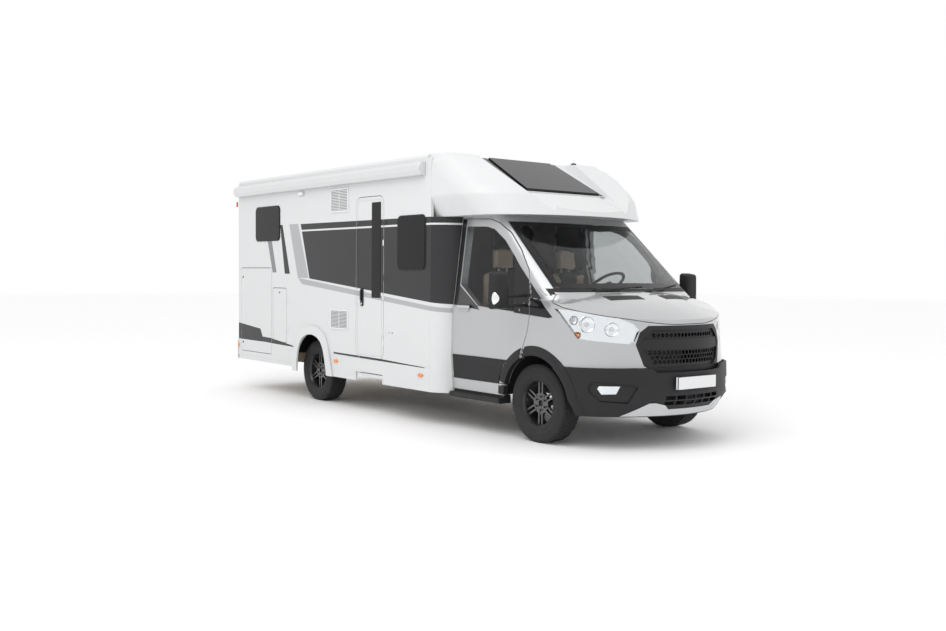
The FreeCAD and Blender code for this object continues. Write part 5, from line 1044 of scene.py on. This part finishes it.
# the cap's shoulders fall away from the roof window's edge, on a plane through its two ends
shoulder = {"rear": Vector((1.04, 0.505, 2.782)), "front": Vector((1.745, 0.520, 2.412)),
            "fall": Vector((0.747, 0.658, -0.082)), "from": 0.500, "rearmost": 1.0, "thick": 0.028, "step": 0.045}


def shapeShoulders():
    # corners above the plane are pressed down on to it, and the inner wall's to its thickness below
    cap = dressed["overcab_cap"]
    bm = bmesh.new()
    bm.from_mesh(cap.data)
    cutFine(bm, shoulder["step"])
    bmesh.ops.triangulate(bm, faces=[face for face in bm.faces if len(face.verts) > 4])
    normal = (shoulder["front"] - shoulder["rear"]).cross(shoulder["fall"])
    for vert in bm.verts:
        if abs(vert.co.y) < shoulder["from"] or vert.co.x < shoulder["rearmost"]:
            continue
        away = Vector((vert.co.x, abs(vert.co.y), 0)) - shoulder["rear"]
        top = shoulder["rear"].z - (normal.x * away.x + normal.y * away.y) / normal.z
        if vert.co.z > top:
            vert.co.z = top - (shoulder["thick"] if vert.normal.z < 0 else 0.0)
    bm.to_mesh(cap.data)
    cap.data.set_sharp_from_angle(angle=math.radians(smoothing["sharp"]))
    tree = BVHTree.FromBMesh(bm)
    bm.free()
    return tree


roofTrim = {"band": [(1.03, 0.446), (1.03, 0.520), (1.775, 0.560), (1.750, 0.514)],
            "foot": [(1.744, -0.530), (1.775, -0.530), (1.775, 0.530), (1.744, 0.530)],
            "strip": [(1.776, -0.555), (1.800, -0.555), (1.800, 0.555), (1.776, 0.555)]}
capTree = shapeShoulders()
for label, side, sign in sides:
    patch("roofWindowBand" + label, [(x, sign * y) for x, y in roofTrim["band"]], "above", capTree, 0.005, 0.005,
          "glossBlack", "coach", step=0.03)
patch("roofWindowFoot", roofTrim["foot"], "above", capTree, 0.004, 0.004, "glossBlack", "coach",
      step=0.06)
patch("roofWindowStrip", roofTrim["strip"], "above", capTree, 0.006, 0.006, "satinSilver", "coach",
      step=0.06)
print("roof")

# lights are power, size, place and the point that they look at
studio = {"floor": (0.97, 0.97, 0.97), "floorSize": 60, "world": 1.0,
          "lights": {"keyLight": (300, 7, (3, -6, 8.5), (0, 0, 1)), "fillLight": (40, 6, (10, 4, 5), (2, 0, 1))}}


def makeStage():
    bm = bmesh.new()
    bmesh.ops.create_grid(bm, x_segments=1, y_segments=1, size=studio["floorSize"])
    mesh = bpy.data.meshes.new("studioFloor")
    bm.to_mesh(mesh)
    bm.free()
    floor = bpy.data.objects.new("studioFloor", mesh)
    bpy.context.scene.collection.objects.link(floor)
    mesh.materials.append(finish("floorPaint", studio["floor"], 0.75, tone=0.02))
    world = bpy.data.worlds.new("studioWorld")
    bpy.context.scene.world = world
    bpy.context.scene.view_settings.view_transform = "Standard"
    world.use_nodes = True
    background = world.node_tree.nodes["Background"]
    background.inputs["Color"].default_value = (1, 1, 1, 1)
    background.inputs["Strength"].default_value = studio["world"]
    for name, (power, size, place, aim) in studio["lights"].items():
        light = bpy.data.lights.new(name, "AREA")
        light.energy, light.size = power, size
        holder = bpy.data.objects.new(name, light)
        bpy.context.scene.collection.objects.link(holder)
        holder.location = place
        holder.rotation_euler = (Vector(aim) - Vector(place)).to_track_quat("-Z", "Y").to_euler()


photoCamera = {"place": (9.490, -7.327, 1.572), "yaw": 2.4716, "pitch": -0.0411, "roll": 0.0082, "lens": 38.835,
               "farthest": 200}


def makeCamera():
    yaw, pitch, roll = (photoCamera[key] for key in ("yaw", "pitch", "roll"))
    ahead = Vector((math.cos(pitch) * math.cos(yaw), math.cos(pitch) * math.sin(yaw), math.sin(pitch)))
    level = Vector((math.sin(yaw), -math.cos(yaw), 0))
    above = level.cross(ahead)
    side = level * math.cos(roll) + above * math.sin(roll)
    top = -level * math.sin(roll) + above * math.cos(roll)
    camera = bpy.data.objects.new("photoCamera", bpy.data.cameras.new("photoCamera"))
    bpy.context.scene.collection.objects.link(camera)
    camera.data.lens = photoCamera["lens"]
    camera.data.clip_end = photoCamera["farthest"]
    camera.matrix_world = Matrix.Translation(photoCamera["place"]) @ Matrix((side, top, -ahead)).transposed().to_4x4()
    bpy.context.scene.camera = camera


makeStage()
makeCamera()
print("stage and camera")
